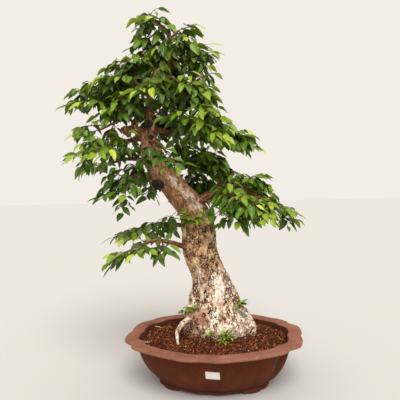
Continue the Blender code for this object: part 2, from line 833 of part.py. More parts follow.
def make_seals(trunk):
    """The patches of wound paste on the trunk's front."""
    seals = []
    for name, x, z, width, height in WOUND_SEALS:
        rim = []
        for k in range(SEAL_SIDES):
            angle = math.tau * k / SEAL_SIDES
            rim.append(Vector((x + math.cos(angle) * width / 2, 0, z + math.sin(angle) * height / 2)) * MM)
        seals.append(laid_patch(name, trunk, rim, SEAL_THICKNESS, "seal"))
    return seals


def make_label(pot):
    """The blank label, laid on the bowed front wall."""
    rim = []
    for row, turn in ((-0.5, 1), (0.5, -1)):
        for k in range(LABEL_COLUMNS + 1):
            x = LABEL_X + turn * (k / LABEL_COLUMNS - 0.5) * LABEL_LENGTH
            rim.append(Vector((x, 0, LABEL_Z + row * LABEL_HEIGHT)))
    return laid_patch("label", pot, rim, LABEL_THICKNESS, "paper")


def main():
    clear_scene()
    pot = make_pot()
    make_screens()
    trunk = make_trunk()
    soil = make_soil(soil_cutters())
    make_shoots(trunk, (soil, *make_seals(trunk), make_label(pot)))
    for thing in bpy.data.objects:
        thing.location = POT_PLACE


main()
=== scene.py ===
"""The looks of a Korean hornbeam bonsai in its lobed clay pot.

Everything is laid out round the middle of the pot's base, as in the CAD, and moved to the pot's place when
its mesh is made. Tables are in millimetres where they say so, and other lengths are metres.
"""

import math
import random

import bpy
import numpy as np
from mathutils import Euler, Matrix, Quaternion, Vector, noise
from mathutils.bvhtree import BVHTree


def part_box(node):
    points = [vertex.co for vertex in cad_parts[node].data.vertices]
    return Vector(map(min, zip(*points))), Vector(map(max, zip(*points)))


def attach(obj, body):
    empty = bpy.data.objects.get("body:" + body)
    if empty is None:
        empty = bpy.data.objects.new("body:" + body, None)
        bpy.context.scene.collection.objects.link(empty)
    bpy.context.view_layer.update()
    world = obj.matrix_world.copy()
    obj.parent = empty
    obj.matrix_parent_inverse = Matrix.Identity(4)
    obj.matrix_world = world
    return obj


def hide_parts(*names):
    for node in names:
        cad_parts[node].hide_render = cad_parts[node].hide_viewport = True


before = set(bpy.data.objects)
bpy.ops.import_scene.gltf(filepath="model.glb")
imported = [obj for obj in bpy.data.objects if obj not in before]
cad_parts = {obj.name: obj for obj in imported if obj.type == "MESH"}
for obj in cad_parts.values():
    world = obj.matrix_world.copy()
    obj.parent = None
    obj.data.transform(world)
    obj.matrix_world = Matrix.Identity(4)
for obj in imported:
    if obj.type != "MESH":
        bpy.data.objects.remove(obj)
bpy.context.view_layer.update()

MM = 0.001
SEED = 41
pot_low, pot_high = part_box("pot")
# Heights are given from a level over the floor, as in the CAD, and the pot's feet reach down to the floor
FOOT_DROP = 0.005
PLACE = np.array([(pot_low.x + pot_high.x) / 2, (pot_low.y + pot_high.y) / 2, FOOT_DROP])

# A quarter of the rim's outline, as shares of its half length and half depth
RIM_QUARTER = (
    (0.986, 0.0), (1.0, 0.15), (0.985, 0.33), (0.945, 0.425), (0.858, 0.520), (0.835, 0.595),
    (0.760, 0.690), (0.560, 0.828), (0.365, 0.928), (0.170, 1.0), (0.0, 0.986),
)
RIM_HALVES = (0.220, 0.188)
RIM_STEPS = 7
RIM_ROUNDNESS = 0.75
# Share of the depth at which each corner is notched
NOTCH_DEPTH = 0.595
# The pot from the middle of its underside, up its outside and down inside: half length, half depth and
# height in millimetres
POT_PROFILE = (
    (33.0, 30.0, 1.2), (129.0, 103.0, 1.0), (133.5, 107.5, 1.2), (135.8, 109.6, 3.1), (136.0, 109.6, 5.7),
    (134.8, 108.3, 7.5), (137.0, 110.4, 8.8), (144.5, 117.6, 13.1), (152.6, 125.3, 19.4),
    (160.1, 132.3, 27.1), (167.2, 138.7, 36.8), (173.8, 144.5, 47.3), (179.3, 149.3, 58.9),
    (183.7, 152.8, 70.5), (187.5, 155.8, 82.1), (190.5, 158.0, 92.6), (192.6, 159.6, 100.5),
    (194.8, 162.0, 102.8), (201.0, 168.5, 103.8), (210.0, 178.0, 104.2), (216.5, 184.5, 104.8),
    (219.2, 187.2, 106.2), (220.0, 188.0, 108.5), (219.4, 187.4, 111.0), (217.6, 185.6, 112.6),
    (214.5, 182.5, 113.0), (202.0, 169.5, 112.8), (190.0, 157.0, 113.0), (187.2, 154.2, 112.4),
    (185.5, 152.5, 110.8), (184.6, 151.6, 108.0), (181.0, 148.8, 96.0), (176.8, 145.3, 78.0),
    (150.4, 122.4, 26.0), (131.0, 105.0, 11.0), (40.0, 30.0, 11.0),
)
# Levels of the profile that are the wall, and the lip in the paler clay
WALL_LEVELS = (7, 17)
LIP_LEVELS = (19, 29)
LIP_WAVE = 0.0006
BASE_HALVES = (0.133, 0.107)
# The part of the rim's outline that a foot follows, its section as spread from the base's outline and
# height, where the low ones follow its scalloped edge, and how far that edge is cut up
FOOT_CORNERS = (2, 8)
FOOT_PLAN = (
    (1.035, 0.0100), (1.045, 0.0030), (1.045, 0.0008 - FOOT_DROP),
    (1.035, -FOOT_DROP), (0.86, -FOOT_DROP), (0.85, 0.0025),
)
FOOT_SCALLOPS = ((0.62, 0.70, 0.0030), (0.82, 1.0, 0.0034))
DRAIN_RADIUS = 0.009
DRAIN_SPACING = 0.130
DRAIN_SIDES = 32
DRAIN_REACH = (-0.01, 0.03)
SHARP_EDGE = math.radians(50)

# Blank label: middle, length and height on the front wall
LABEL_MIDDLE = (0.016, 0.064)
LABEL_SIZE = (0.0325, 0.0185)
LABEL_THICKNESS = 0.0006
LABEL_GAP = 0.0002
LABEL_GRID = (15, 9)

# Soil: half length, half depth and height of its edge, and its rise from there to the share of the way in
# where it is level
SOIL_EDGE = (0.1815, 0.1485, 0.099)
SOIL_RISE = 0.009
SOIL_FLAT = 0.42
SOIL_WAVE = 0.0012
# Granules: their grid's spacing, its rows' distance as a share of that, the field that it fills, how far
# each strays from it, the share of the soil's edge that they reach, how deep in the wood one may lie and
# the radii
GRAIN_SPACING = 0.0037
GRAIN_ROWS = 0.87
GRAIN_FIELD = (0.38, 0.32)
GRAIN_STRAY = 0.0014
GRAIN_REACH = 0.985
GRAIN_DEPTH = 0.002
GRAIN_SIZE = (0.0015, 0.0027)
# Corners of an icosahedron's faces, for the granules
GRAIN_FACES = (
    (0, 11, 5), (0, 5, 1), (0, 1, 7), (0, 7, 10), (0, 10, 11), (1, 5, 9), (5, 11, 4), (11, 10, 2), (10, 7, 6),
    (7, 1, 8), (3, 9, 4), (3, 4, 2), (3, 2, 6), (3, 6, 8), (3, 8, 9), (4, 9, 5), (2, 4, 11), (6, 2, 10),
    (8, 6, 7), (9, 8, 1),
)
# Fibres of root that lie on the soil, and a reddish scrap, in millimetres
FIBRES = (
    ((-173, -61, 106), (-166, -66, 107), (-158, -70, 107), (-150, -66, 107)),
    ((-171, 60, 106), (-167, 56, 107), (-158, 53, 107), (-152, 50, 106)),
)
FIBRE_RADII = (0.0012, 0.0007)
SCRAP = (-131, -8, 108)
SCRAP_HALVES = (0.0060, 0.0028, 0.0014)

# Trunk, leader, cut stub and exposed root: centre and radius of each level in millimetres
TRUNK = (
    (9, 33, 78, 76), (9, 33, 104, 85), (4, 35, 138, 83), (-1, 34, 167, 74), (-2, 34, 191, 64),
    (-6, 34, 215, 58), (-11, 33, 241, 51), (-19, 32, 267, 44), (-30, 30, 301, 43), (-36, 29, 333, 44),
    (-38, 29, 366, 43), (-42, 28, 400, 41), (-54, 25, 430, 38), (-73, 19, 456, 35), (-93, 14, 481, 32),
    (-112, 9, 507, 31), (-129, 4, 533, 29), (-145, 0, 561, 28), (-155, -4, 589, 24), (-158, -7, 604, 17),
)
LEADER = (
    (-149, -3, 572, 18), (-152, -5, 602, 18), (-148, -6, 622, 16.5), (-146, -6, 641, 14),
    (-147, -9, 670, 11.7), (-148, -11, 697, 10), (-140, -11, 721, 9.4), (-124, -11, 745, 8.4),
    (-103, -10, 764, 7.4), (-91, -12, 787, 6.4), (-87, -15, 815, 5.4), (-89, -20, 845, 4.4),
    (-88, -21, 869, 3.4),
)
CUT_STUB = ((-152, -5, 590, 15), (-168, -11, 618, 12.5), (-184, -19, 633, 10.8), (-211, -31, 630, 9.6))
EXPOSED_ROOT = (
    (-38, 14, 158, 10), (-62, -15, 150, 8.4), (-77, -40, 141, 6.2), (-83, -57, 129, 5.0),
    (-81, -66, 114, 3.6), (-77, -70, 92, 2),
)
BASE_DEPTH_SHARE = 0.80
NEBARI_TOP = 300
SOIL_LEVEL = 99
NEBARI_RIDGE = 0.12
BARK_RIDGE = 0.035
# Ridges round the trunk, and finer lobes round its foot in millimetres: count, turn and height
TRUNK_RIDGES = ((5, 0.8, 0.6), (8, 2.1, 0.4))
FOOT_LOBES = ((9, 0.7, 4.0), (14, 2.2, 3.0))

# Swellings of the trunk, and hollows below zero: centre, reach and height in millimetres
LUMPS = (
    (-62, -16, 172, 24, 9.0), (-58, -20, 146, 24, 8.0), (-36, -40, 128, 20, 5.0), (68, -12, 150, 30, 2.5),
    (92, 20, 122, 24, 5.0), (40, -34, 132, 20, 4.0), (56, 4, 250, 22, -4.0), (60, -2, 214, 18, 4.0),
    (60, 0, 190, 16, 2.5), (-40, -38, 150, 20, 4.0), (-66, -20, 128, 22, 5.0), (-20, -44, 118, 22, 4.0),
    (12, -46, 122, 14, 5.0), (20, -30, 172, 9, -5.0), (8, -32, 186, 7, -4.0), (36, -18, 196, 9, -4.0),
    (-60, 20, 240, 18, -3.0), (-64, 8, 200, 16, 5.0), (-30, 75, 150, 30, 5.0), (60, 85, 130, 26, 6.0),
    (10, 100, 118, 24, 5.0), (-2, -22, 268, 16, 2.0), (-80, 30, 330, 16, 3.0), (6, 20, 388, 14, 3.0),
    (-30, -14, 372, 14, 2.5), (-18, 64, 300, 24, 4.0), (35, -18, 256, 6, -5.0), (33, -22, 244, 6, -6.0),
    (32, -25, 231, 6, -6.5), (30, -28, 218, 6, -6.5), (29, -30, 205, 6, -6.0), (28, -32, 192, 6, -5.0),
    (52, -12, 240, 10, 4.0), (60, -12, 218, 10, 4.0), (4, -34, 184, 5, -4.0), (12, -36, 176, 5, -4.5),
    (20, -38, 168, 5, -4.0), (-60, 14, 312, 16, 4.0), (-52, 12, 278, 14, -4.0), (-30, -14, 322, 9, -4.0),
    (-142, -8, 508, 20, 9.0), (-145, -8, 492, 14, 7.0),
)

# Colour patches on the front of the trunk: x and z of the middle, half width and half height in
# millimetres, turn in degrees (leaning left above the middle is positive) and strength
PATCHES = {
    "pale": (
        (-34, 266, 14, 16, 30, 0.5), (18, 236, 16, 26, 12, 0.9), (16, 204, 13, 26, -4, 0.9),
        (20, 180, 10, 14, -6, 0.7), (70, 138, 36, 34, 0, 1.0), (30, 128, 34, 20, 0, 0.6),
        (-46, 450, 14, 50, 38, 0.75), (-84, 494, 12, 30, 42, 0.55),
    ),
    "dark": (
        (60, 200, 14, 36, 20, 1.0), (45, 232, 8, 18, 20, 0.7), (-31, 362, 40, 26, 0, 0.7),
        (-36, 318, 12, 12, 0, 1.0), (-24, 246, 20, 22, 0, 0.8), (-44, 222, 16, 22, 0, 0.5),
        (14, 175, 3.5, 16, 46, 1.0), (33, 222, 3.5, 36, 4, 1.0),
    ),
    "red": (
        (-40, 152, 30, 14, 0, 0.9), (-62, 150, 18, 26, 0, 0.8), (-54, 122, 32, 20, 0, 0.8),
        (-20, 168, 20, 12, -20, 0.6), (-20, 240, 22, 28, 0, 0.45),
    ),
    "grey": ((71, 161, 4.8, 14, 48, 1.0),),
}

# Pruning wounds sealed with black paste: x, z, width and height in millimetres
WOUND_SEALS = {
    "wound_seal_upper": (-149, 645, 22, 24),
    "wound_seal_fork": (-144, 612, 15, 13),
    "wound_seal_side": (-131, 493, 36, 28),
}
SEAL_SIDES, SEAL_LEVELS = 28, 7
# How deep the paste's edge is tucked in, how high the rest stands and how uneven it is
SEAL_TUCK, SEAL_RISE, SEAL_WAVE = 0.0008, 0.0010, 0.0004
# Ring knots on the stub: middle and size in millimetres and the way it faces. Then a knot's section:
# radius and height as shares of its size, and how dark it is
KNOTS = (
    ((-207, -43, 631), 8.0, (-0.6, -0.8, 0.05)), ((-183, -30, 646), 7.0, (-0.15, -0.8, 0.5)),
    ((-199, -33, 618), 5.4, (-0.2, -0.7, -0.7)), ((-168, -24, 628), 5.0, (0.1, -1.0, 0.1)),
)
KNOT_PROFILE = (
    (1.30, -0.9, 0.5), (1.22, 0.0, 0.2), (1.02, 0.42, 0.0), (0.80, 0.45, 0.0), (0.62, 0.20, 0.5),
    (0.48, -0.12, 1.0), (0.10, -0.10, 1.0),
)
KNOT_SIDES = 20
# The stub's sawn end: its rings and their sides, and their radii in millimetres
CUT_RINGS, CUT_SIDES = 13, 28
CUT_RADII = (9.4, 0.4)

# Limbs: number of leafy shoots in the CAD, their reach, radii at both ends and route, in millimetres
LIMBS = {
    "stub_twig": (1, 80, 4.2, 2.8, (-178, -18, 632), (-195, -30, 658), (-226, -46, 650), (-262, -60, 632)),
    "low_left_front": (2, 92, 7.5, 3.0, (-45, 14, 322), (-107, -16, 347), (-143, -36, 353), (-186, -54, 334)),
    "low_left_back": (2, 92, 6.5, 3.0, (-45, 38, 376), (-120, 47, 388), (-165, 52, 384), (-200, 52, 376)),
    "left_low": (2, 78, 6.5, 3.0, (-115, 4, 515), (-168, -26, 520), (-190, -44, 512), (-206, -56, 498)),
    "left_mid_back": (2, 88, 7, 3.0, (-140, 6, 552), (-210, 34, 562), (-250, 46, 560), (-280, 50, 550)),
    "left_mid_front": (2, 80, 7, 3.0, (-170, -13, 612), (-204, -56, 600), (-232, -84, 594), (-252, -98, 586)),
    "far_left": (2, 82, 6.5, 3.0, (-146, -8, 668), (-200, -10, 694), (-248, -14, 704), (-286, -20, 702)),
    "shelf_left": (2, 58, 5.5, 2.8, (-140, -11, 712), (-168, -36, 742), (-188, -52, 752), (-204, -64, 754)),
    "shelf_left_back": (1, 60, 5.5, 2.8, (-138, -10, 722), (-170, 16, 752), (-198, 34, 764), (-216, 44, 766)),
    "upper_right": (2, 60, 5.4, 2.8, (-90, -13, 780), (-68, 2, 802), (-46, 14, 810), (-30, 22, 811)),
    "upper_right_front": (
        2, 70, 5.2, 2.8, (-102, -10, 764), (-68, -40, 744), (-46, -58, 722), (-30, -70, 698),
    ),
    "right_mid": (3, 92, 7, 3.0, (-146, -6, 636), (-80, 18, 622), (-20, 33, 618), (32, 42, 608)),
    "right_mid_front": (2, 80, 6.2, 2.8, (-146, -8, 658), (-90, -42, 652), (-46, -62, 642), (-16, -72, 630)),
    "right_low_back": (2, 84, 7, 3.0, (-115, 8, 520), (-74, 54, 536), (-30, 84, 540), (0, 98, 534)),
    "right_pad": (3, 92, 15, 3.4, (-60, 20, 425), (-10, 9, 460), (30, 3, 476), (84, 2, 472), (124, 2, 452)),
    "right_pad_back": (2, 80, 7.5, 3.0, (-20, 12, 455), (20, 46, 489), (56, 64, 492), (88, 76, 484)),
    "right_pad_front": (2, 74, 7, 3.0, (10, 5, 469), (46, -20, 472), (74, -38, 460), (92, -50, 446)),
    "front_mid": (1, 66, 6.2, 2.8, (-150, -8, 600), (-122, -56, 597), (-98, -92, 584), (-84, -112, 568)),
    "back_mid": (2, 80, 6.8, 3.0, (-149, -4, 640), (-150, 50, 655), (-150, 92, 656), (-146, 116, 650)),
    "back_upper": (1, 66, 5.2, 2.8, (-106, -8, 762), (-120, 34, 778), (-132, 62, 780), (-140, 78, 776)),
    "back_right": (1, 92, 5.2, 2.8, (-134, -11, 731), (-118, 16, 742), (-104, 36, 742), (-92, 46, 738)),
    "back_low": (2, 80, 7.5, 3.0, (-80, 22, 452), (-76, 76, 470), (-71, 114, 474), (-64, 136, 470)),
    "front_upper": (1, 66, 4.8, 2.8, (-91, -13, 780), (-100, -48, 778), (-108, -72, 764), (-114, -86, 748)),
    "apex_left": (2, 56, 3.6, 2.6, (-89, -20, 850), (-97, -27, 874), (-110, -36, 884), (-121, -43, 892)),
    "apex_right": (1, 52, 3.6, 2.6, (-89, -19, 842), (-78, -15, 862), (-68, -10, 872)),
}
LIMB_TAPER = 0.8
LIMB_COLLAR = 1.35

# Small shoots straight from the trunk: degrees round it, height, reach and leaf length in millimetres, and
# number of sprigs
TRUNK_SHOOTS = {
    "sprout_left": (206, 160, 15, 10, 9),
    "sprout_left_low": (222, 176, 20, 11, 9),
    "sprout_right": (-18, 180, 22, 11, 10),
    "sprout_front": (-98, 120, 14, 9, 5),
    "sprout_front_right": (-72, 114, 30, 14, 18),
    "sprout_bend": (-90, 402, 40, 23, 12),
}

# Where each limb's leaves gather: middle and half sizes in millimetres, and rise towards +X
CLUMPS = {
    "apex_left": (
        (-134, -38, 910, 26, 26, 16, 0.1), (-156, -40, 878, 29, 28, 18, 0.2), (-150, -34, 838, 30, 36, 28, 0),
        (-112, -10, 872, 24, 28, 18, 0), (-107, -36, 868, 24, 20, 20, 0), (-134, -36, 888, 30, 26, 16, 0.1),
    ),
    "apex_right": ((-58, -4, 864, 34, 32, 16, -0.2), (-62, -8, 834, 42, 42, 26, 0)),
    "leader": (
        (-98, -42, 842, 20, 16, 24, 0), (-112, -26, 806, 38, 44, 34, 0), (-114, -26, 700, 18, 16, 16, 0),
        (-110, 44, 806, 52, 44, 40, 0), (-106, 40, 742, 36, 36, 30, 0),
    ),
    "back_right": ((-56, 46, 716, 54, 46, 42, 0),),
    "shelf_left": (
        (-204, -46, 790, 46, 40, 22, 0.22), (-168, -40, 796, 44, 36, 26, 0),
        (-240, -46, 748, 50, 46, 24, 0.3),
    ),
    "shelf_left_back": ((-188, 46, 776, 54, 45, 30, 0.2), (-220, 60, 746, 50, 40, 26, 0)),
    "far_left": (
        (-328, -18, 737, 27, 34, 22, 0.3), (-290, -14, 749, 38, 40, 24, 0.25),
        (-246, -8, 722, 48, 48, 32, 0.1), (-182, -60, 700, 44, 36, 36, 0),
        (-226, -50, 672, 46, 36, 24, 0.1), (-212, 42, 702, 55, 45, 34, 0),
    ),
    "stub_twig": ((-304, -52, 642, 32, 30, 10, 0.2), (-240, -46, 630, 30, 24, 16, 0.1)),
    "left_mid_front": (
        (-252, -84, 598, 54, 42, 26, 0.2), (-296, -85, 548, 22, 26, 18, 0.3), (-212, -60, 606, 36, 34, 22, 0),
    ),
    "left_mid_back": ((-262, 40, 584, 42, 40, 18, 0.15), (-216, 36, 588, 38, 36, 18, 0)),
    "left_low": (
        (-230, -52, 500, 36, 38, 24, 0.25), (-194, -40, 506, 34, 34, 28, 0.1),
        (-186, -30, 538, 40, 36, 20, 0), (-170, 30, 512, 30, 34, 26, 0), (-210, -57, 438, 16, 14, 18, 0),
        (-231, -70, 527, 18, 18, 16, 0.1), (-157, -20, 470, 14, 14, 11, 0),
    ),
    "low_left_front": (
        (-240, -60, 308, 30, 26, 16, 0.5), (-180, -40, 348, 26, 24, 10, 0.2),
        (-122, -25, 334, 26, 24, 10, 0.1), (-126, -30, 322, 22, 20, 10, 0),
    ),
    "low_left_back": (
        (-160, 46, 388, 52, 36, 12, 0.3), (-246, 48, 362, 40, 32, 12, 0.4), (-112, 32, 411, 28, 24, 13, 0.15),
        (-100, 6, 380, 24, 18, 16, 0), (-150, 44, 368, 30, 26, 14, 0.1),
    ),
    "upper_right": (
        (-34, 14, 790, 44, 42, 28, -0.2), (-16, 14, 834, 26, 24, 11, -0.1), (2, 12, 820, 16, 18, 12, -0.2),
    ),
    "upper_right_front": (
        (-30, -56, 718, 52, 42, 36, -0.3), (0, -50, 712, 26, 34, 24, -0.3), (-56, -34, 748, 36, 36, 24, 0),
        (10, -46, 752, 22, 24, 16, -0.3),
    ),
    "right_mid": (
        (18, 35, 642, 58, 50, 32, -0.45), (74, 38, 608, 34, 38, 30, -0.6), (-46, 30, 642, 50, 50, 30, 0),
        (2, 18, 676, 34, 42, 18, -0.4), (96, 38, 608, 16, 20, 16, -0.5),
    ),
    "right_mid_front": (
        (0, -68, 622, 52, 40, 32, -0.4), (-58, -54, 652, 42, 38, 28, 0), (-96, -20, 692, 28, 32, 30, 0),
    ),
    "right_low_back": (
        (-12, 84, 552, 54, 44, 30, -0.4), (-58, 72, 562, 50, 40, 32, 0), (0, 50, 556, 44, 42, 32, -0.4),
        (-72, 12, 592, 36, 34, 28, 0),
    ),
    "right_pad": (
        (122, 5, 442, 58, 56, 24, -0.35), (182, 10, 420, 36, 36, 20, -0.5), (66, 0, 458, 52, 54, 28, -0.2),
        (50, -24, 426, 34, 36, 22, 0), (66, -36, 402, 48, 34, 17, 0), (104, -2, 503, 40, 36, 14, -0.15),
        (44, -46, 488, 26, 14, 12, 0), (192, 0, 396, 24, 22, 16, -0.3), (108, 0, 508, 24, 20, 12, -0.1),
        (6, -44, 426, 14, 14, 14, 0),
    ),
    "right_pad_back": (
        (72, 74, 480, 54, 42, 30, -0.3), (110, 66, 462, 40, 38, 26, -0.4), (64, 46, 502, 50, 44, 20, -0.2),
        (112, 40, 494, 34, 38, 22, -0.2),
    ),
    "right_pad_front": ((74, -60, 446, 52, 40, 32, -0.3), (114, -54, 430, 44, 34, 24, -0.4)),
    "front_mid": (
        (-128, -96, 580, 32, 26, 20, 0), (-102, -104, 562, 28, 26, 22, 0), (-138, -88, 560, 22, 18, 14, 0),
    ),
    "back_mid": ((-148, 108, 655, 60, 55, 42, 0), (-150, 62, 664, 46, 36, 30, 0)),
    "back_upper": ((-136, 74, 785, 52, 45, 38, 0), (-100, 62, 820, 44, 40, 32, 0)),
    "back_low": (
        (-64, 130, 476, 56, 50, 32, 0), (-22, 100, 484, 50, 40, 30, 0), (-46, 70, 514, 38, 38, 32, 0),
    ),
    "front_upper": ((-112, -92, 724, 40, 30, 22, 0), (-112, -66, 766, 24, 18, 14, 0)),
}
# Cubic millimetres of a clump for each of its twigs
CLUMP_SHARE = 18000
# The shortest branchlet and twig of a clump, and the step of the routes that they start from in millimetres
SHORT_BRANCHLET, SHORT_TWIG = 0.012, 0.018
ROUTE_STEP = 6.0
# How far the fine main shoots reach, and how much they droop, as shares of the CAD's and of their reach
SHOOT_TRIM = {
    "apex_left": (0.70, 0.50), "apex_right": (0.78, 0.35), "upper_right": (0.55, -0.10),
    "right_low_back": (0.66, 0.30), "right_pad_back": (0.78, 0.30), "right_mid": (0.92, 0.34),
    "right_pad": (0.86, 0.30), "left_low": (0.78, 0.25), "left_mid_back": (0.72, 0.05),
    "left_mid_front": (0.84, 0.25), "stub_twig": (0.72, 0.0), "far_left": (0.84, 0.12),
    "low_left_back": (0.84, 0.30), "low_left_front": (0.60, 0.08),
}
DEFAULT_TRIM = (0.90, 0.30)
# Shoots under the tiers above, whose leaf tone is darkened as painted shade: the share of their tone
SHADED = {"front_mid": 0.55, "left_low": 0.65}
# Where the middle of the crown is along X at each height
AXIS_HEIGHTS = (0.30, 0.45, 0.52, 0.60, 0.70, 0.76, 0.87)
AXIS_PLACES = (-0.03, -0.07, -0.12, -0.15, -0.148, -0.105, -0.09)

# Leaf: share of its length and share of its half width, from base to tip
LEAF_OUTLINE = (
    (0.0, 0.14), (0.05, 0.50), (0.12, 0.78), (0.22, 0.95), (0.34, 1.0), (0.48, 0.96), (0.62, 0.83),
    (0.75, 0.63), (0.86, 0.39), (0.94, 0.18), (1.0, 0.02),
)
LEAF_COLUMNS = (-1.0, -0.5, 0.0, 0.5, 1.0)
LEAF_WIDTH_SHARE = 0.51
LEAF_VEINS = 6
LEAF_LENGTH = 0.032
LEAF_SPACING = 0.0090
PETIOLE = 0.0045
# How near the wood a leaf's tip and middle may come
TIP_GAP, MIDDLE_GAP = 0.002, 0.003
# Radii of the twigs of main shoots, their side twigs and clumps, of a leaf's stalk and of a branchlet
MAIN_TWIG, SIDE_TWIG, CLUMP_TWIG = 0.0014, 0.0008, 0.0010
STALK_RADII = (0.0006, 0.0005)
BRANCHLET_RADII = (0.0021, 0.0012)
# How far the second and third main shoots turn from the first
SHOOT_TURN = math.radians(62)
# Colour attribute of twigs, which the leaf material tells from leaves by its third number
WOOD_SHADE = (0.0, 0.0, -1.0, 0.5)
GOLDEN_TURN = 2.39996

# How far the bark plates of the upper trunk lean, in radians
UPPER_LEAN = -0.65

# Camera, found from the pot's rim and the photograph's vanishing lines
CAMERA_YAW = math.radians(9.55)
CAMERA_PITCH = math.radians(2.64)
CAMERA_ROLL = math.radians(-1.58)
CAMERA_PLACE = (0.1751, -1.2005, 0.5073)
SENSOR_MM = 36
FOCAL_SHARE = 483 / 400
FLOOR_HALF = 9.0
SUN_SOURCE = (0.25, -0.75, 0.95)
SUN_STRENGTH = 2.6
SUN_SPREAD = math.radians(35)
SUN_COLOUR = (1.0, 0.97, 0.93)


# Shader nodes


class Value:
    """A number or colour in a finish. Sums, products and the methods below add the nodes for them."""

    def __init__(self, finish, socket):
        self.finish = finish
        self.socket = socket

    def calc(self, operation, other):
        return self.finish.value("ShaderNodeMath", {0: self, 1: other}, operation=operation)

    def __add__(self, other):
        return self.calc("ADD", other)

    def __sub__(self, other):
        return self.calc("SUBTRACT", other)

    def __rsub__(self, other):
        return self.finish.value("ShaderNodeMath", {0: other, 1: self}, operation="SUBTRACT")

    def __mul__(self, other):
        return self.calc("MULTIPLY", other)

    def most(self, other):
        return self.calc("MAXIMUM", other)

    def rise(self, low, high):
        """0 at low, 1 at high and a smooth rise between, whichever is greater."""
        links = {"Value": self, "From Min": low, "From Max": high}
        return self.finish.value("ShaderNodeMapRange", links, interpolation_type="SMOOTHSTEP")

    def ramp(self, *stops):
        """A colour ramp: each stop is a place and a colour."""
        made = self.finish.node("ShaderNodeValToRGB", {"Fac": self})
        elements = made.color_ramp.elements
        while len(elements) < len(stops):
            elements.new(0.5)
        for element, (place, colour) in zip(elements, stops):
            element.position = place
            element.color = (*colour, 1.0)
        return Value(self.finish, made.outputs[0])


class Finish:
    """A material in the making."""

    def __init__(self, name, roughness, specular):
        self.material = bpy.data.materials.new(name)
        self.material.use_nodes = True
        self.tree = self.material.node_tree
        self.shader = self.tree.nodes["Principled BSDF"]
        self.shader.inputs["Roughness"].default_value = roughness
        self.shader.inputs["Specular IOR Level"].default_value = specular

    def node(self, kind, links=None, **settings):
        """A node with its settings, and its inputs set or linked."""
        made = self.tree.nodes.new(kind)
        for key, value in settings.items():
            setattr(made, key, value)
        for name, value in (links or {}).items():
            target = made.inputs[name]
            if isinstance(value, Value):
                self.tree.links.new(value.socket, target)
            else:
                target.default_value = (*value, 1.0) if target.type == "RGBA" else value
        return made

    def value(self, kind, links=None, output=0, **settings):
        return Value(self, self.node(kind, links, **settings).outputs[output])

    def place(self):
        """The object's own coordinates."""
        return self.value("ShaderNodeTexCoord", output="Object")

    def mix(self, share, first, second):
        """Two colours, mixed by a share."""
        return self.value("ShaderNodeMix", {0: share, 6: first, 7: second}, 2, data_type="RGBA")

    def noise(self, scale, detail, rough, stretch=None, offset=(0, 0, 0), distortion=0.0):
        """Noise over the object."""
        place = self.place()
        if stretch:
            place = self.value("ShaderNodeMapping", {"Vector": place, "Scale": stretch, "Location": offset})
        links = {"Vector": place, "Scale": scale, "Detail": detail, "Roughness": rough}
        return self.value("ShaderNodeTexNoise", {**links, "Distortion": distortion}, "Fac")

    def cracks(self, scale, width, squash, warp, offset=(0, 0, 0), lean=0.0):
        """Dark lines between bark plates: 1 in a crack. Lean turns their length from the vertical."""
        place = self.place()
        if lean:
            links = {"Vector": place, "Rotation": (0.0, lean, 0.0)}
            place = self.value("ShaderNodeMapping", links, vector_type="TEXTURE")
        links = {"Vector": place, "Scale": (1, 1, squash), "Location": offset}
        place = self.value("ShaderNodeMapping", links)
        links = {"Vector": place, "Scale": scale * 0.8, "Detail": 3.0}
        stir = self.value("ShaderNodeTexNoise", links, "Color")
        links = {0: stir, 1: (warp, warp, warp), 2: place}
        place = self.value("ShaderNodeVectorMath", links, operation="MULTIPLY_ADD")
        links = {"Vector": place, "Scale": scale}
        edge = self.value("ShaderNodeTexVoronoi", links, "Distance", feature="DISTANCE_TO_EDGE")
        return 1.0 - edge.rise(width * 0.3, width)

    def channels(self, name):
        """The red, green, blue and alpha of a mesh's colour attribute."""
        source = self.node("ShaderNodeAttribute", attribute_name=name)
        split = self.node("ShaderNodeSeparateColor", {0: Value(self, source.outputs["Color"])})
        return [Value(self, socket) for socket in (*split.outputs[:3], source.outputs["Alpha"])]

    def close(self, colour, height=None, strength=0.0, distance=0.0):
        """The material with its colour, and its fine relief if it has one."""
        self.tree.links.new(colour.socket, self.shader.inputs["Base Color"])
        if height is not None:
            links = {"Height": height, "Strength": strength, "Distance": distance}
            self.tree.links.new(self.value("ShaderNodeBump", links).socket, self.shader.inputs["Normal"])
        return self.material


# Points and meshes


def smoothstep(low, high, value):
    """0 at low, 1 at high and smooth between, whichever is greater."""
    share = np.clip((np.asarray(value, float) - low) / (high - low), 0, 1)
    return share * share * (3 - 2 * share)


def field(points, scale, seed, squash=1.0):
    """Smooth noise at each of many points."""
    scaled = np.asarray(points) * (np.array((1, 1, squash)) * scale) + seed
    values = [noise.noise(place) for place in scaled.reshape(-1, 3).tolist()]
    return np.array(values).reshape(scaled.shape[:-1])


def unit(way):
    return way / np.linalg.norm(way)


def circle(sides):
    return np.arange(sides) * math.tau / sides


def new_object(name, points, faces):
    """A mesh object in the scene."""
    mesh = bpy.data.meshes.new(name)
    mesh.from_pydata(np.asarray(points).tolist(), [], faces)
    made = bpy.data.objects.new(name, mesh)
    bpy.context.scene.collection.objects.link(made)
    return made


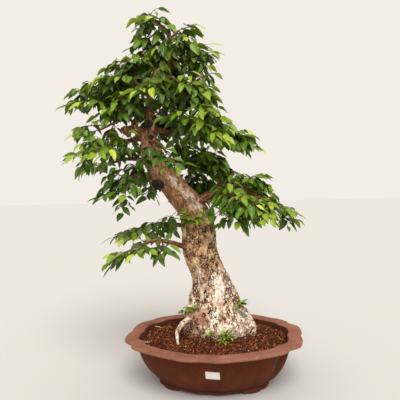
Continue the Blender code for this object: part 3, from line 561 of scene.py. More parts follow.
class Heap:
    """Points, faces and colours of many small bodies on their way into one mesh."""

    def __init__(self):
        self.points = []
        self.quads = []
        self.others = []
        self.colours = {"shade": [], "mark": []}
        self.count = 0

    def add(self, points, quads, shade, others=(), mark=None):
        points = np.asarray(points, float).reshape(-1, 3)
        self.points.append(points)
        self.quads.append(np.asarray(quads) + self.count)
        self.others += [tuple(index + self.count for index in face) for face in others]
        for name, given in (("shade", shade), ("mark", mark)):
            if given is not None:
                self.colours[name].append(np.broadcast_to(np.asarray(given, float), (len(points), 4)))
        self.count += len(points)

    def add_tube(self, rings, shade, mark=None, closed=True):
        """Rings of points with the faces between them and at the end, and at the start if it is closed."""
        levels, sides = rings.shape[:2]
        ends = (tuple(reversed(range(sides))), tuple(range((levels - 1) * sides, levels * sides)))
        self.add(rings, ring_quads(levels, sides), shade, ends if closed else ends[1:], mark)

    def faces(self):
        return [face for quads in self.quads for face in quads.tolist()]

    def piece(self, name, finish, slot, smooth=True):
        """The mesh piece, which rides with the object."""
        made = new_object(name, np.vstack(self.points) + PLACE, self.faces() + self.others)
        mesh = made.data
        mesh.polygons.foreach_set("use_smooth", [smooth] * len(mesh.polygons))
        for label, colours in self.colours.items():
            if colours:
                layer = mesh.color_attributes.new(label, "FLOAT_COLOR", "POINT")
                layer.data.foreach_set("color", np.vstack(colours).astype(np.float32).ravel())
        mesh.materials.append(finish)
        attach(made, "root")
        return made


def curve_between(corners, t):
    """A place between the middle two of four corners, on the smooth curve through them."""
    a, b, c, d = corners
    return 0.5 * (2 * b + (c - a) * t + (2 * a - 5 * b + 4 * c - d) * t**2 + (3 * b - a - 3 * c + d) * t**3)


def smooth_route(rows, step):
    """Rows of numbers on a smooth curve through the given ones. The first three numbers are a place."""
    rows = np.array(rows, float)
    padded = np.vstack([2 * rows[0] - rows[1], rows, 2 * rows[-1] - rows[-2]])
    out = []
    for i in range(1, len(padded) - 2):
        count = max(2, int(np.linalg.norm((padded[i + 1] - padded[i])[:3]) / step))
        out += [curve_between(padded[i - 1 : i + 3], k / count) for k in range(count)]
    out.append(rows[-1])
    return np.array(out)


def metric_route(corners, step):
    """Places in metres along a route given in millimetres."""
    return smooth_route(corners, step)[:, :3] * MM


def directions(points, side=(1, 0, 0)):
    """Unit vectors along a route and across it, turned as little as possible."""
    along = np.gradient(points, axis=0)
    along /= np.linalg.norm(along, axis=1, keepdims=True)
    across = np.empty_like(along)
    side = np.array(side, float)
    for i, way in enumerate(along):
        side = side - way * side.dot(way)
        side /= np.linalg.norm(side)
        across[i] = side
    return along, across, np.cross(along, across)


def ring_points(points, radii, sides, side=(1, 0, 0)):
    """Rings of points round a route, and the way out at each point."""
    _, across, inward = directions(points, side)
    angles = circle(sides)
    out = across[:, None] * np.cos(angles)[None, :, None] + inward[:, None] * np.sin(angles)[None, :, None]
    return points[:, None] + out * np.asarray(radii)[:, None, None], out


def ring_quads(levels, sides, closed=True):
    """The faces between rings of points."""
    spans = sides if closed else sides - 1
    low = (np.arange(levels - 1)[:, None] * sides + np.arange(spans)[None]).ravel()
    after = (np.arange(levels - 1)[:, None] * sides + (np.arange(spans)[None] + 1) % sides).ravel()
    return np.stack([low, after, after + sides, low + sides], axis=1)


# Trunk and limbs, in millimetres


def wound_rims(points, out):
    """Swollen rims round the pruning wounds, and a flat floor inside them."""
    rise = np.zeros(points.shape[:-1])
    for x, z, width, height in WOUND_SEALS.values():
        share = np.hypot((points[..., 0] - x) / (width / 2), (points[..., 2] - z) / (height / 2))
        front = smoothstep(0.1, 0.5, -out[..., 1])
        rise += front * (1.8 * np.exp(-(((share - 1.25) / 0.28) ** 2)) - 1.0 * (share < 1.0))
    return rise


def plates(points, size, squash, seed):
    """Bark plates: how deep in the cracks between them each point is, and each plate's own height."""
    warp = np.stack([field(points, 0.9 / size, seed + shift) for shift in (0.0, 17.0, 31.0)], axis=-1)
    scaled = (points * np.array((1, 1, squash)) / size + warp * 0.55).reshape(-1, 3)
    crack, level = np.empty(len(scaled)), np.empty(len(scaled))
    for k, place in enumerate(scaled.tolist()):
        reach, middles = noise.voronoi(place)
        crack[k] = reach[1] - reach[0]
        level[k] = noise.noise(middles[0] * 7.3)
    crack = 1 - smoothstep(0.02, 0.17, crack)
    return crack.reshape(points.shape[:-1]), level.reshape(points.shape[:-1])


def fibre_places(angles, centre, radius, width, length):
    """Places for noise that runs in fibres of a width and length along a stem."""
    along = np.concatenate([[0], np.cumsum(np.linalg.norm(np.diff(centre, axis=0), axis=1))])[:, None]
    radius = radius[:, None]
    parts = (np.cos(angles) * radius / width, np.sin(angles) * radius / width, along / length)
    return np.stack(np.broadcast_arrays(*parts), axis=-1)


def bark_relief(points, fibres, upper):
    """Relief of the trunk's bark and how deep in a crack each point is, which the bark finish paints as
    shade.
    """
    broad = field(points, 1 / 30, 5.5, 0.6)
    fine = field(points, 1 / 3.6, 9.7, 0.8)
    coarse, level = plates(points, 13.0, 0.7, 2.0)
    small, step = plates(points, 6.0, 0.75, 40.0)
    rough = smoothstep(-0.35, 0.25, field(points, 1 / 26, 61.0, 0.7))
    plated = 3.0 * broad + 2.4 * level + 1.2 * step + 0.7 * fine - 2.4 * coarse * rough - 1.0 * small * rough
    strands = field(fibres, 1.0, 1.7)
    splits = np.clip(1 - np.abs(field(fibres, 0.6, 13.9)) * 5.0, 0, 1)
    fibrous = 1.0 * strands - 1.5 * splits + 1.2 * broad
    relief = plated * (1 - 0.55 * upper) + fibrous * upper * 0.8
    crevice_shade = (0.75 * coarse * rough + 0.15 * small * rough) * (1 - 0.45 * upper) + 0.60 * splits * upper
    return relief, np.clip(crevice_shade, 0, 1)


def painted(points, out):
    """Strength of each kind of patch at each point of the trunk."""
    front = smoothstep(-0.25, 0.25, -out[..., 1])
    wander = field(points, 1 / 8, 33.0) * 0.55 + field(points, 1 / 3.5, 3.0) * 0.3
    made = {}
    for kind, patches in PATCHES.items():
        stray, edge = (0.1, (0.9, 1.05)) if kind == "grey" else (1.0, (0.55, 1.2))
        made[kind] = np.zeros(points.shape[:-1])
        for x, z, width, height, turn, strength in patches:
            angle = math.radians(turn)
            dx, dz = points[..., 0] - x, points[..., 2] - z
            u = (dx * math.cos(angle) + dz * math.sin(angle)) / width
            v = (-dx * math.sin(angle) + dz * math.cos(angle)) / height
            share = np.hypot(u, v) + wander * stray
            made[kind] = np.maximum(made[kind], strength * front * (1 - smoothstep(*edge, share)))
    return made


def trunk_surface(sides=208, step=1.45):
    """The trunk's fine surface, with its root flare, swellings and bark."""
    rows = smooth_route(TRUNK, step)
    centre, radius = rows[:, :3], rows[:, 3]
    _, across, inward = directions(centre)
    angles = circle(sides)
    flare = np.clip((NEBARI_TOP - centre[:, 2]) / (NEBARI_TOP - SOIL_LEVEL), 0, 1)
    depth = 1 - (1 - BASE_DEPTH_SHARE) * flare
    ridge = BARK_RIDGE + (NEBARI_RIDGE - BARK_RIDGE) * flare
    wave = sum(share * np.cos(count * angles + turn) for count, turn, share in TRUNK_RIDGES)
    reach = radius[:, None] * (1 + ridge[:, None] * (wave[None] - 0.3))
    out = across[:, None] * np.cos(angles)[None, :, None]
    out = out + inward[:, None] * np.sin(angles)[None, :, None] * depth[:, None, None]
    points = centre[:, None] + out * reach[..., None]
    out /= np.linalg.norm(out, axis=-1, keepdims=True)
    for x, y, z, size, height in LUMPS:
        share = np.linalg.norm(points - np.array((x, y, z)), axis=-1) / size
        points = points + out * (height * np.exp(-(share**2)))[..., None]
    level = points[..., 2]
    fibres = fibre_places(angles, centre, radius, 3.4, 24)
    relief, crevice_shade = bark_relief(points, fibres, smoothstep(395, 440, level))
    paint = painted(points, out)
    calm = 1 - 0.80 * np.maximum(np.where(level > 170, paint["pale"], 0.0), paint["grey"])
    lobes = sum(height * np.cos(count * angles + turn) for count, turn, height in FOOT_LOBES)
    relief = relief + lobes[None] * smoothstep(175, 100, level)
    relief = relief * calm + wound_rims(points, out)
    points = points + out * relief[..., None]
    level = points[..., 2]
    # The zones of colour, from cream at the foot over tan to brown above the bend
    wander = 24 * field(points, 1 / 22, 71.0, 0.6) + 0.35 * points[..., 0]
    zone = 0.34 * smoothstep(235, 300, level - wander) + 0.10 * smoothstep(320, 350, level)
    zone = zone + 0.40 * smoothstep(385, 440, level)
    return points, out, crevice_shade * calm, zone


def tube_surface(rows, sides, step, swell, zone, seed=0.0):
    """A limb's, leader's or root's fine surface: swell is the size of its relief."""
    rows = smooth_route(rows, step)
    centre, radius = rows[:, :3], rows[:, 3]
    points, out = ring_points(centre, radius, sides)
    strands = field(fibre_places(circle(sides), centre, radius, 3, 20), 1.0, 2.7 + seed)
    knobs = field(points, 1 / 11, 7.7 + seed)
    points = points + out * (swell * (0.5 * strands + knobs))[..., None]
    # The grooves between strands come back as crevice_shade, painted shade in the bark finish
    return points, out, np.clip(-strands * 1.6, 0, 1), np.full(points.shape[:-1], zone)


def limb_rows(corners, first, last):
    """A limb's corners with radii, broader where it leaves the trunk."""
    shares = [k / (len(corners) - 1) for k in range(len(corners))]
    rows = [(*corner, first + (last - first) * share**LIMB_TAPER) for corner, share in zip(corners, shares)]
    start, after = np.array(rows[0]), np.array(rows[1])
    near = start + (after - start) * 0.22
    near[3] = first * 1.02
    start[3] = first * LIMB_COLLAR
    return [tuple(start), tuple(near), *rows[1:]]


def add_surface(heap, surface, cream=0.0):
    """Put a fine surface in a heap, with its colours: cream is how pale and smooth it is all over.

    The shade is dark, pale, red and crevice_shade, and the mark is grey and zone; crevice_shade is painted
    shade in the relief's cracks.
    """
    points, out, crevice_shade, zone = surface
    paint = painted(points, out)
    smooth = 1 - cream
    pale = np.maximum(paint["pale"], cream)
    dark = np.clip(paint["dark"] * 0.8, 0, 1)
    shade = np.stack([dark, pale, paint["red"] * smooth, crevice_shade * smooth], axis=-1)
    mark = np.stack([paint["grey"], zone, np.zeros_like(pale), np.ones_like(pale)], axis=-1)
    heap.add_tube(points * MM, shade.reshape(-1, 4), mark.reshape(-1, 4))


def cut_face(heap):
    """The sawn end of the stub, with rings and a swollen rim."""
    rows = smooth_route(CUT_STUB, 1.5)
    along = unit(rows[-1, :3] - rows[-2, :3])
    points = rows[-1, :3][None] + np.outer([0.25 if k % 2 else -0.25 for k in range(CUT_RINGS)], along)
    points = points + np.outer(np.linspace(0, 0.05, CUT_RINGS), along)
    rings, _ = ring_points(points, np.linspace(*CUT_RADII, CUT_RINGS), CUT_SIDES)
    heap.add_tube(rings * MM, (0.25, 0.4, 0.0, 0.4), (0.0, 0.6, 0.0, 1.0), closed=False)


def knot(heap, centre, size, facing):
    """A ring of callus round a small cut."""
    facing = unit(np.array(facing, float))
    across = unit(np.cross(facing, (0.3, 0.2, 1.0)))
    inward = np.cross(facing, across)
    angles = circle(KNOT_SIDES)
    out = across[None] * np.cos(angles)[:, None] + inward[None] * np.sin(angles)[:, None]
    uneven = 1 + 0.08 * np.cos(3 * angles + centre[0])
    rings = []
    for radius, height, _ in KNOT_PROFILE:
        rings.append(np.array(centre) + facing * size * height + out * (radius * size * uneven)[:, None])
    deep = np.repeat([level[2] for level in KNOT_PROFILE], KNOT_SIDES)
    none = np.zeros_like(deep)
    # The knot's sunken middle is darkened, with painted shade through crevice_shade
    shade = np.column_stack([deep * 0.6, none, none, deep])
    heap.add_tube(np.array(rings) * MM, shade, (0.0, 0.78, 0.0, 1.0), closed=False)


def make_wood(finish):
    """Trunk, leader, stub and exposed root in one piece, and the limbs in another."""
    heap = Heap()
    add_surface(heap, trunk_surface())
    points, out, crevice_shade, _ = tube_surface(LEADER, 60, 2.0, 0.9, 1.0)
    zone = 0.75 + 0.25 * smoothstep(600, 680, points[..., 2])
    points = points + out * wound_rims(points, out)[..., None]
    add_surface(heap, (points, out, crevice_shade, zone))
    add_surface(heap, tube_surface(CUT_STUB, 40, 1.6, 1.6, 0.80, 4.0))
    cut_face(heap)
    for row in KNOTS:
        knot(heap, *row)
    add_surface(heap, tube_surface(EXPOSED_ROOT, 20, 2.5, 0.7, 0.0, 8.0), cream=0.85)
    trunk = heap.piece("trunk_bark", finish, "bark")
    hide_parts("trunk")
    limbs = Heap()
    for k, (_, _, first, last, *corners) in enumerate(LIMBS.values()):
        sides, step = (28, 3.0) if first > 10 else (12, 4.0)
        add_surface(limbs, tube_surface(limb_rows(corners, first, last), sides, step, 0.55, 1.0, k * 1.3))
    limbs.piece("limb_bark", finish, "bark")
    return BVHTree.FromPolygons(np.vstack(heap.points).tolist(), heap.faces())


# Leaves, in metres


def leaf_template():
    """A leaf's grid of points and faces, its base at the origin and its tip at 1 on the first axis.

    The last two columns are each point's share out from the midrib and its share along the leaf.
    """
    shares, widths = zip(*LEAF_OUTLINE)
    rows = 2 * LEAF_VEINS + 1
    points = []
    for row in range(rows):
        rib = row / (rows - 1)
        vein = row % 2 == 1
        for column in LEAF_COLUMNS:
            out = abs(column)
            place = rib + 0.15 * (1 - rib) * min(1, rib * 5) * out
            width = float(np.interp(place, shares, widths)) * LEAF_WIDTH_SHARE / 2
            if out == 1.0 and 0 < row < rows - 1:
                width *= 1.05 if vein else 0.93
                place += 0.012 if vein else -0.008
            pleat = (-0.010 if vein else 0.010) * (0.4 + 0.6 * out) * (0 < out) * math.sin(math.pi * rib)
            points.append((place, column * width, pleat, out, rib))
    return np.array(points), ring_quads(rows, len(LEAF_COLUMNS), closed=False)


LEAF_POINTS, LEAF_QUADS = leaf_template()


class Foliage:
    """Leaves, stalks and twigs of one piece."""

    def __init__(self, wood, seed, brightness=1.0):
        # A brightness below 1 darkens the leaves' tone as painted shade
        self.brightness = brightness
        self.leaves = []
        self.green = Heap()
        self.wood = wood
        self.draws = random.Random(seed)

    def clear(self, place, margin):
        """Whether a place is outside the wood by a margin."""
        near, facing, _, distance = self.wood.find_nearest(Vector(place))
        if near is None or distance > 0.02:
            return True
        return (Vector(place) - near).dot(facing) > 0 and distance > margin

    def add_leaf(self, base, way, face, length, tone):
        """One leaf, unless it would run into the wood."""
        tip, middle = base + way * length, base + way * length * 0.5
        if not (self.clear(tip, TIP_GAP) and self.clear(middle, MIDDLE_GAP)):
            return False
        self.leaves.append((base, way, face, length, tone * self.brightness))
        return True

    def add_twig(self, points, first, last):
        """A thin twig along points."""
        points = np.array(points)
        rings, _ = ring_points(points, np.linspace(first, last, len(points)), 5, side=(0, 0.2, 1))
        self.green.add_tube(rings, WOOD_SHADE)

    def piece(self, name, finish):
        """The piece, with all its leaves."""
        draws = self.draws
        x, y, z, out, rib = LEAF_POINTS.T
        for base, way, face, length, tone in self.leaves:
            across = unit(np.cross(face, way))
            up = np.cross(way, across)
            fold = math.tan(math.radians(draws.uniform(8, 28)))
            bend = draws.uniform(0.05, 0.30)
            wave = draws.uniform(0.0, 0.035)
            phase = draws.uniform(0, math.tau)
            twist = draws.uniform(-0.25, 0.25)
            breadth = draws.uniform(0.88, 1.12)
            height = z + np.abs(y) * fold - bend * x**2 + wave * np.sin(x * 9 + phase) * out + twist * y * x
            spot = base + length * (np.outer(x, way) + np.outer(y * breadth, across) + np.outer(height, up))
            shade = np.stack([out, rib, np.full(len(x), tone), np.full(len(x), draws.random())], axis=1)
            self.green.add(spot, LEAF_QUADS, shade)
        return self.green.piece(name, finish, "leaf")


def curve_point(ends, share):
    return ends[0] * (1 - share) ** 2 + ends[1] * 2 * share * (1 - share) + ends[2] * share**2


def curve_way(ends, share):
    return unit((ends[1] - ends[0]) * (1 - share) + (ends[2] - ends[1]) * share)


def turned(way, angle):
    """A direction turned about the vertical."""
    cos, sin = math.cos(angle), math.sin(angle)
    return np.array([way[0] * cos - way[1] * sin, way[0] * sin + way[1] * cos, way[2]])


def leaf_pose(draws, along, side, low):
    """A leaf's direction and its upper side, beside a twig or at its tip: low is 0 high in a clump, 1 low."""
    level = np.array([along[0], along[1], 0.0])
    level = unit(level) if np.linalg.norm(level) > 0.05 else np.array([1.0, 0.0, 0.0])
    way = turned(level, side * math.radians(draws.uniform(30, 75)) + draws.uniform(-0.2, 0.2))
    way[2] = -math.tan(math.radians(draws.uniform(0, 38) + 26 * low))
    way = unit(way)
    face = np.array([draws.uniform(-0.8, 0.8), draws.uniform(-0.8, 0.8), 1.0]) + 0.25 * level
    return way, unit(face - way * face.dot(way))


def leafy_twig(foliage, ends, thick, tones, leafy=0.86, low=0.3):
    """A curved twig with leaves in two rows along it and one at its tip: ends are its start, bend and tip."""
    draws = foliage.draws
    reach = np.linalg.norm(ends[2] - ends[0])
    foliage.add_twig([curve_point(ends, share) for share in np.linspace(0, 0.97, 7)], thick, thick * 0.45)
    count = max(2, int(reach * leafy / LEAF_SPACING))
    side = draws.choice((-1, 1))
    for k in range(count + 1):
        share = 1.0 - leafy * k / count
        along = curve_way(ends, share)
        way, face = leaf_pose(draws, along, side if k else 0, low)
        side = -side
        length = LEAF_LENGTH * draws.uniform(0.68, 1.14)
        foot = curve_point(ends, share)
        base = foot + unit(way + 0.5 * along) * PETIOLE
        tone = tones[0] + (tones[1] - tones[0]) * share * draws.uniform(0.45, 1.05)
        if foliage.add_leaf(base, way, face, length, min(tone, 1.0)):
            foliage.add_twig([foot, base + way * 0.001], *STALK_RADII)


def droop_curve(start, facing, heading, reach, droop):
    """Start, bend and tip of a shoot that leaves the wood squarely and droops, as in the CAD."""
    tip = start + heading * reach + np.array([0, 0, -droop * reach])
    return start, start + (facing * 0.22 + heading * 0.30) * reach, tip


def main_shoots(foliage, name):
    """The limb's own leafy shoots, as in the CAD, each with side twigs."""
    count, reach, _, _, *corners = LIMBS[name]
    trim, droop = SHOOT_TRIM.get(name, DEFAULT_TRIM)
    draws = foliage.draws
    route = [np.array(corner, float) * MM for corner in corners]
    end_way = unit(route[-1] - route[-2])
    ahead = unit(np.array([end_way[0], end_way[1], 0]))
    ahead[2] = 0.14 + 0.7 * end_way[2]
    reach *= MM * trim
    mains = [(route[-1], end_way, ahead, reach)]
    for k in range(1, count):
        side, before, after = (1, route[-2], route[-1]) if k == 1 else (-1, route[-3], route[-2])
        axis = unit(after - before)
        heading = turned(ahead, side * SHOOT_TURN)
        outward = unit(heading - axis * heading.dot(axis))
        mains.append((before + (after - before) * 0.6, outward, heading, reach * 0.92))
    for start, facing, heading, length in mains:
        ends = droop_curve(start, facing, heading, length, droop)
        leafy_twig(foliage, ends, MAIN_TWIG, (0.22, 0.80), low=0.25)
        for share, side in ((0.30, 1), (0.55, -1)):
            way = turned(curve_way(ends, share), side * math.radians(draws.uniform(38, 60)))
            way[2] += draws.uniform(0.0, 0.3)
            twig = droop_curve(curve_point(ends, share), way, way, length * (1 - share) * 0.55 + 0.012, droop)
            leafy_twig(foliage, twig, SIDE_TWIG, (0.22, 0.74), low=0.25)


def fill_clump(foliage, route, clump):
    """A branchlet from the limb into a clump, and leafy twigs from it to all parts of the clump."""
    draws = foliage.draws
    centre, halves = np.array(clump[:3], float) * MM, np.array(clump[3:6], float) * MM
    nearest = int(np.argmin(np.linalg.norm(route - centre, axis=1)))
    nearest = max(2, nearest - draws.randint(0, 3))
    start = route[min(nearest, len(route) - 1)]
    length = np.linalg.norm(centre - start)
    branchlet = (start, (start + centre) / 2 + np.array([0, 0, 0.12 * length]), centre)
    if length > SHORT_BRANCHLET:
        foliage.add_twig([curve_point(branchlet, share) for share in np.linspace(0, 1, 8)], *BRANCHLET_RADII)
    away = centre[:2] - np.array([np.interp(centre[2], AXIS_HEIGHTS, AXIS_PLACES), 0.0])
    away = away * (1.0, 0.35) / max(float(np.linalg.norm(away)), 0.06)
    volume = 4 / 3 * math.pi * np.prod(halves / MM)
    count = max(3, round(volume / CLUMP_SHARE))
    for k in range(count):
        up = 1 - 2 * (k + 0.5) / count
        turn = k * GOLDEN_TURN + draws.uniform(-0.3, 0.3)
        flat = math.sqrt(max(0.0, 1 - up * up))
        shell = draws.uniform(0.55, 1.0) ** 0.6
        spot = np.array([math.cos(turn) * flat, math.sin(turn) * flat, up]) * shell
        target = centre + spot * halves
        target[2] += clump[6] * spot[0] * halves[0]
        foot = curve_point(branchlet, draws.uniform(0.55, 1.0)) if length > SHORT_BRANCHLET else start
        reach = np.linalg.norm(target - foot)
        if reach < SHORT_TWIG:
            target = foot + unit(target - foot) * SHORT_TWIG
            reach = SHORT_TWIG
        bend = (foot + target) / 2 + np.array([0, 0, draws.uniform(0.12, 0.30) * reach])
        # Tone rises high in a clump and on the crown's outside: partly young growth, partly painted light,
        # with painted shade low and inside the clump
        high = (up * shell + 1) / 2
        outer = max(0.0, float(spot[:2].dot(away)))
        tones = (0.08 + 0.22 * high, min(1.0, 0.20 + 0.52 * high + 0.42 * outer))
        leafy = min(0.95, 0.060 / reach)
        leafy_twig(foliage, (foot, bend, target), CLUMP_TWIG, tones, leafy, 1 - high)


def limb_foliage(name, index, wood, finish):
    """All the leafy twigs of one limb, in place of its CAD shoots."""
    count, _, _, _, *corners = LIMBS[name]
    foliage = Foliage(wood, SEED * 100 + index, SHADED.get(name, 1.0))
    main_shoots(foliage, name)
    route = metric_route(corners, ROUTE_STEP)
    for clump in CLUMPS[name]:
        fill_clump(foliage, route, clump)
    piece = foliage.piece("leaves_" + name, finish)
    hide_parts(*(f"{name}_{'abc'[k]}" for k in range(count)))


def crown_foliage(wood, finish):
    """Leafy twigs that leave the leader itself."""
    foliage = Foliage(wood, SEED * 7)
    route = metric_route(LEADER, ROUTE_STEP)
    for clump in CLUMPS["leader"]:
        fill_clump(foliage, route, clump)
    foliage.piece("leaves_leader", finish)


def sprig(foliage, seat, heading, reach, length):
    """A short sprig near a seat on the trunk, with four leaves."""
    draws = foliage.draws
    start = seat + np.array([draws.uniform(-4, 4), 0, draws.uniform(-4, 4)]) * MM
    reach *= MM * draws.uniform(0.6, 1.0)
    points = [start, start + heading * reach * 0.5 + np.array([0, 0, 0.001]), start + heading * reach]
    foliage.add_twig(points, 0.0008, 0.0004)
    for k, side in enumerate((0, 1, -1, 1)):
        way = turned(heading, side * math.radians(50) + draws.uniform(-0.3, 0.3))
        way[2] = draws.uniform(-0.5, 0.3)
        way = unit(way)
        face = np.array([draws.uniform(-0.5, 0.5), draws.uniform(-0.5, 0.5), 1.0])
        face = unit(face - way * face.dot(way))
        base = start + heading * reach * (1 - 0.24 * k)
        foliage.add_leaf(base, way, face, length * MM * draws.uniform(0.7, 1.1), draws.uniform(0.25, 0.85))


def sprouts(wood, finish):
    """The small shoots that grow straight from the trunk, each in place of its CAD node."""
    for index, (label, (degrees, height, reach, length, sprigs)) in enumerate(TRUNK_SHOOTS.items()):
        foliage = Foliage(wood, SEED * 300 + index)
        draws = foliage.draws
        angle = math.radians(degrees)
        outward = np.array([math.cos(angle), math.sin(angle), 0.0])
        middle = min(TRUNK, key=lambda level: abs(level[2] - height))
        aim = np.array([middle[0], middle[1], height]) * MM + outward * middle[3] * MM
        seat, facing, _, _ = wood.ray_cast(Vector(aim + outward * 0.08), Vector(-outward))
        for k in range(sprigs):
            turn = -80 + 160 * (k + 0.5) / sprigs + draws.uniform(-12, 12)
            heading = turned(np.array([facing[0], facing[1], 0.0]), math.radians(turn))
            heading[2] = draws.uniform(-0.2, 1.2)
            sprig(foliage, np.array(seat), unit(heading), reach, length)
        piece = foliage.piece("leaves_" + label, finish)
        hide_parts(label)


# Seals, pot, label and soil, in metres


def make_seals(wood, finish):
    """Domed patches of paste in the pruning wounds."""
    for name, (x, z, width, height) in WOUND_SEALS.items():
        rings = []
        for level in range(SEAL_LEVELS):
            share = 1 - level / SEAL_LEVELS
            for angle in circle(SEAL_SIDES):
                edge = share * (1 + 0.06 * math.sin(3 * angle + x) + 0.04 * math.sin(5 * angle))
                px = (x + math.cos(angle) * width / 2 * edge) * MM
                pz = (z + math.sin(angle) * height / 2 * edge) * MM
                place, _, _, _ = wood.ray_cast(Vector((px, -0.3, pz)), Vector((0, 1, 0)))
                rise = SEAL_RISE + SEAL_WAVE * math.sin(7 * share + angle * 2)
                if level == 0:
                    rise = -SEAL_TUCK
                rings.append((px, (place.y if place else 0.0) - rise, pz))
        heap = Heap()
        heap.add_tube(np.array(rings).reshape(SEAL_LEVELS, SEAL_SIDES, 3), (0, 0, 0, 1), closed=False)
        piece = heap.piece(name + "_paste", finish, "seal")
        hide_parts(name)


def rim_shares():
    """The whole outline as shares, on a smooth curve, counter-clockwise from the right end."""
    half = list(RIM_QUARTER) + [(-x, y) for x, y in reversed(RIM_QUARTER[:-1])]
    corners = np.array(half + [(x, -y) for x, y in reversed(half[1:-1])])
    out = []
    for i in range(len(corners)):
        near = [corners[(i + k) % len(corners)] for k in (-1, 0, 1, 2)]
        for k in range(RIM_STEPS):
            t = k / RIM_STEPS
            straight = near[1] + (near[2] - near[1]) * t
            out.append(RIM_ROUNDNESS * curve_between(near, t) + (1 - RIM_ROUNDNESS) * straight)
    return np.array(out)


def ridge_highlight_share(shares):
    """How sharply the outline turns out beside the corners' notches, from 0 to 1: where a highlight is
    painted along the wall's ridges.
    """
    plan = shares * RIM_HALVES
    before = plan - np.roll(plan, 1, axis=0)
    after = np.roll(plan, -1, axis=0) - plan
    turn = before[:, 0] * after[:, 1] - before[:, 1] * after[:, 0]
    turn /= np.linalg.norm(before, axis=1) * np.linalg.norm(after, axis=1)
    turn = (np.roll(turn, 1) + 2 * turn + np.roll(turn, -1)) / 4
    beside = np.abs(np.abs(shares[:, 1]) - NOTCH_DEPTH) < 0.07
    return smoothstep(0.04, 0.12, turn) * beside


def split_edges(piece):
    """Shade a piece smooth between its sharp edges only."""
    piece.modifiers.new("edges", "EDGE_SPLIT").split_angle = SHARP_EDGE


def make_pot(finish):
    """The pot: bead, bowed wall, broad lip, inside with drain holes, and four bracket feet."""
    shares = rim_shares()
    rings = []
    for length, depth, height in np.array(POT_PROFILE) * MM:
        level = np.full(len(shares), height)
        rings.append(np.column_stack([shares[:, 0] * length, shares[:, 1] * depth, level]))
    rings = np.array(rings)
    rings[..., 2] += field(rings * 1000, 1 / 45, 4.4) * LIP_WAVE * (rings[..., 2] > 0.1)
    levels, sides = rings.shape[:2]
    shade = np.zeros((levels, sides, 4))
    shade[LIP_LEVELS[0] : LIP_LEVELS[1], :, 0] = 1.0
    # The second colour marks the inside, which the clay finish darkens as painted shade
    shade[LIP_LEVELS[1] :, :, 1] = 1.0
    # The wall's third colour is a painted highlight along the ridges beside the notches
    shade[WALL_LEVELS[0] : WALL_LEVELS[1], :, 2] = ridge_highlight_share(shares)
    body = Heap()
    body.add_tube(rings, shade.reshape(-1, 4))
    pot = body.piece("pot_clay", finish, "clay")
    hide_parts("pot")
    drill(pot)
    split_edges(pot)
    feet = Heap()
    for sign_x in (-1, 1):
        for sign_y in (-1, 1):
            add_foot(feet, sign_x, sign_y)
    split_edges(feet.piece("pot_feet", finish, "clay"))
    return shares, BVHTree.FromPolygons(rings.reshape(-1, 3).tolist(), body.faces())


def drill(pot):
    """Cut both drain holes through the pot's floor."""
    ring = [(math.cos(angle) * DRAIN_RADIUS, math.sin(angle) * DRAIN_RADIUS) for angle in circle(DRAIN_SIDES)]
    for side in (-1, 1):
        heap = Heap()
        points = [(side * DRAIN_SPACING / 2 + x, y, height) for height in DRAIN_REACH for x, y in ring]
        heap.add_tube(np.array(points).reshape(2, DRAIN_SIDES, 3), (0, 0, 0, 1))
        cutter = new_object("drill", np.vstack(heap.points) + PLACE, heap.faces() + heap.others)
        cut = pot.modifiers.new("hole", "BOOLEAN")
        cut.operation = "DIFFERENCE"
        cut.solver = "EXACT"
        cut.object = cutter
        evaluated = pot.evaluated_get(bpy.context.evaluated_depsgraph_get())
        drilled = bpy.data.meshes.new_from_object(evaluated)
        pot.modifiers.clear()
        spare = (pot.data, cutter.data)
        pot.data = drilled
        bpy.data.objects.remove(cutter)
        for mesh in spare:
            bpy.data.meshes.remove(mesh)


def add_foot(heap, sign_x, sign_y):
    """A bracket foot round a notched corner, its lower edge cut in a cloud shape."""
    corner = smooth_route([(*share, 0.0) for share in RIM_QUARTER[FOOT_CORNERS[0] : FOOT_CORNERS[1]]], 0.012)
    rings = []
    for k, (x, y, _) in enumerate(corner):
        share = abs(2 * k / (len(corner) - 1) - 1)
        bottom = sum(rise * smoothstep(low, high, share) for low, high, rise in FOOT_SCALLOPS)
        plan = []
        for spread, height in FOOT_PLAN:
            height = bottom + height if height < 0 else height
            plan.append((sign_x * x * spread * BASE_HALVES[0], sign_y * y * spread * BASE_HALVES[1], height))
        rings.append(plan)
    if sign_x * sign_y < 0:
        rings.reverse()
    heap.add_tube(np.array(rings, float), (0, 0, 0, 1))


def make_label(wall, finish):
    """The blank label, laid on the bowed front wall."""
    columns, rows = LABEL_GRID
    front = []
    for r in range(rows):
        for c in range(columns):
            x = LABEL_MIDDLE[0] + (c / (columns - 1) - 0.5) * LABEL_SIZE[0]
            z = LABEL_MIDDLE[1] + (r / (rows - 1) - 0.5) * LABEL_SIZE[1]
            place, _, _, _ = wall.ray_cast(Vector((x, -0.4, z)), Vector((0, 1, 0)))
            front.append((x, place.y - LABEL_GAP - LABEL_THICKNESS, z))
    back = np.array(front) + (0, LABEL_THICKNESS, 0)
    count = len(front)
    grid = [(r * columns + c, r * columns + c + 1) for r in range(rows - 1) for c in range(columns - 1)]
    faces = [(a, b, b + columns, a + columns) for a, b in grid]
    faces += [(a + count, a + columns + count, b + columns + count, b + count) for a, b in grid]
    rim = [c for c in range(columns)] + [r * columns + columns - 1 for r in range(1, rows)]
    rim += [count - 1 - c for c in range(1, columns)] + [r * columns for r in range(rows - 2, 0, -1)]
    faces += [(b, a, a + count, b + count) for a, b in zip(rim, rim[1:] + rim[:1])]
    heap = Heap()
    heap.add(np.vstack([front, back]), faces, (0, 0, 0, 1))
    piece = heap.piece("label_paper", finish, "paper", smooth=False)
    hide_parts("label")


def repaint(name, finish):
    """Give a CAD node a better material."""
    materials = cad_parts[name].data.materials
    materials.clear()
    materials.append(finish)


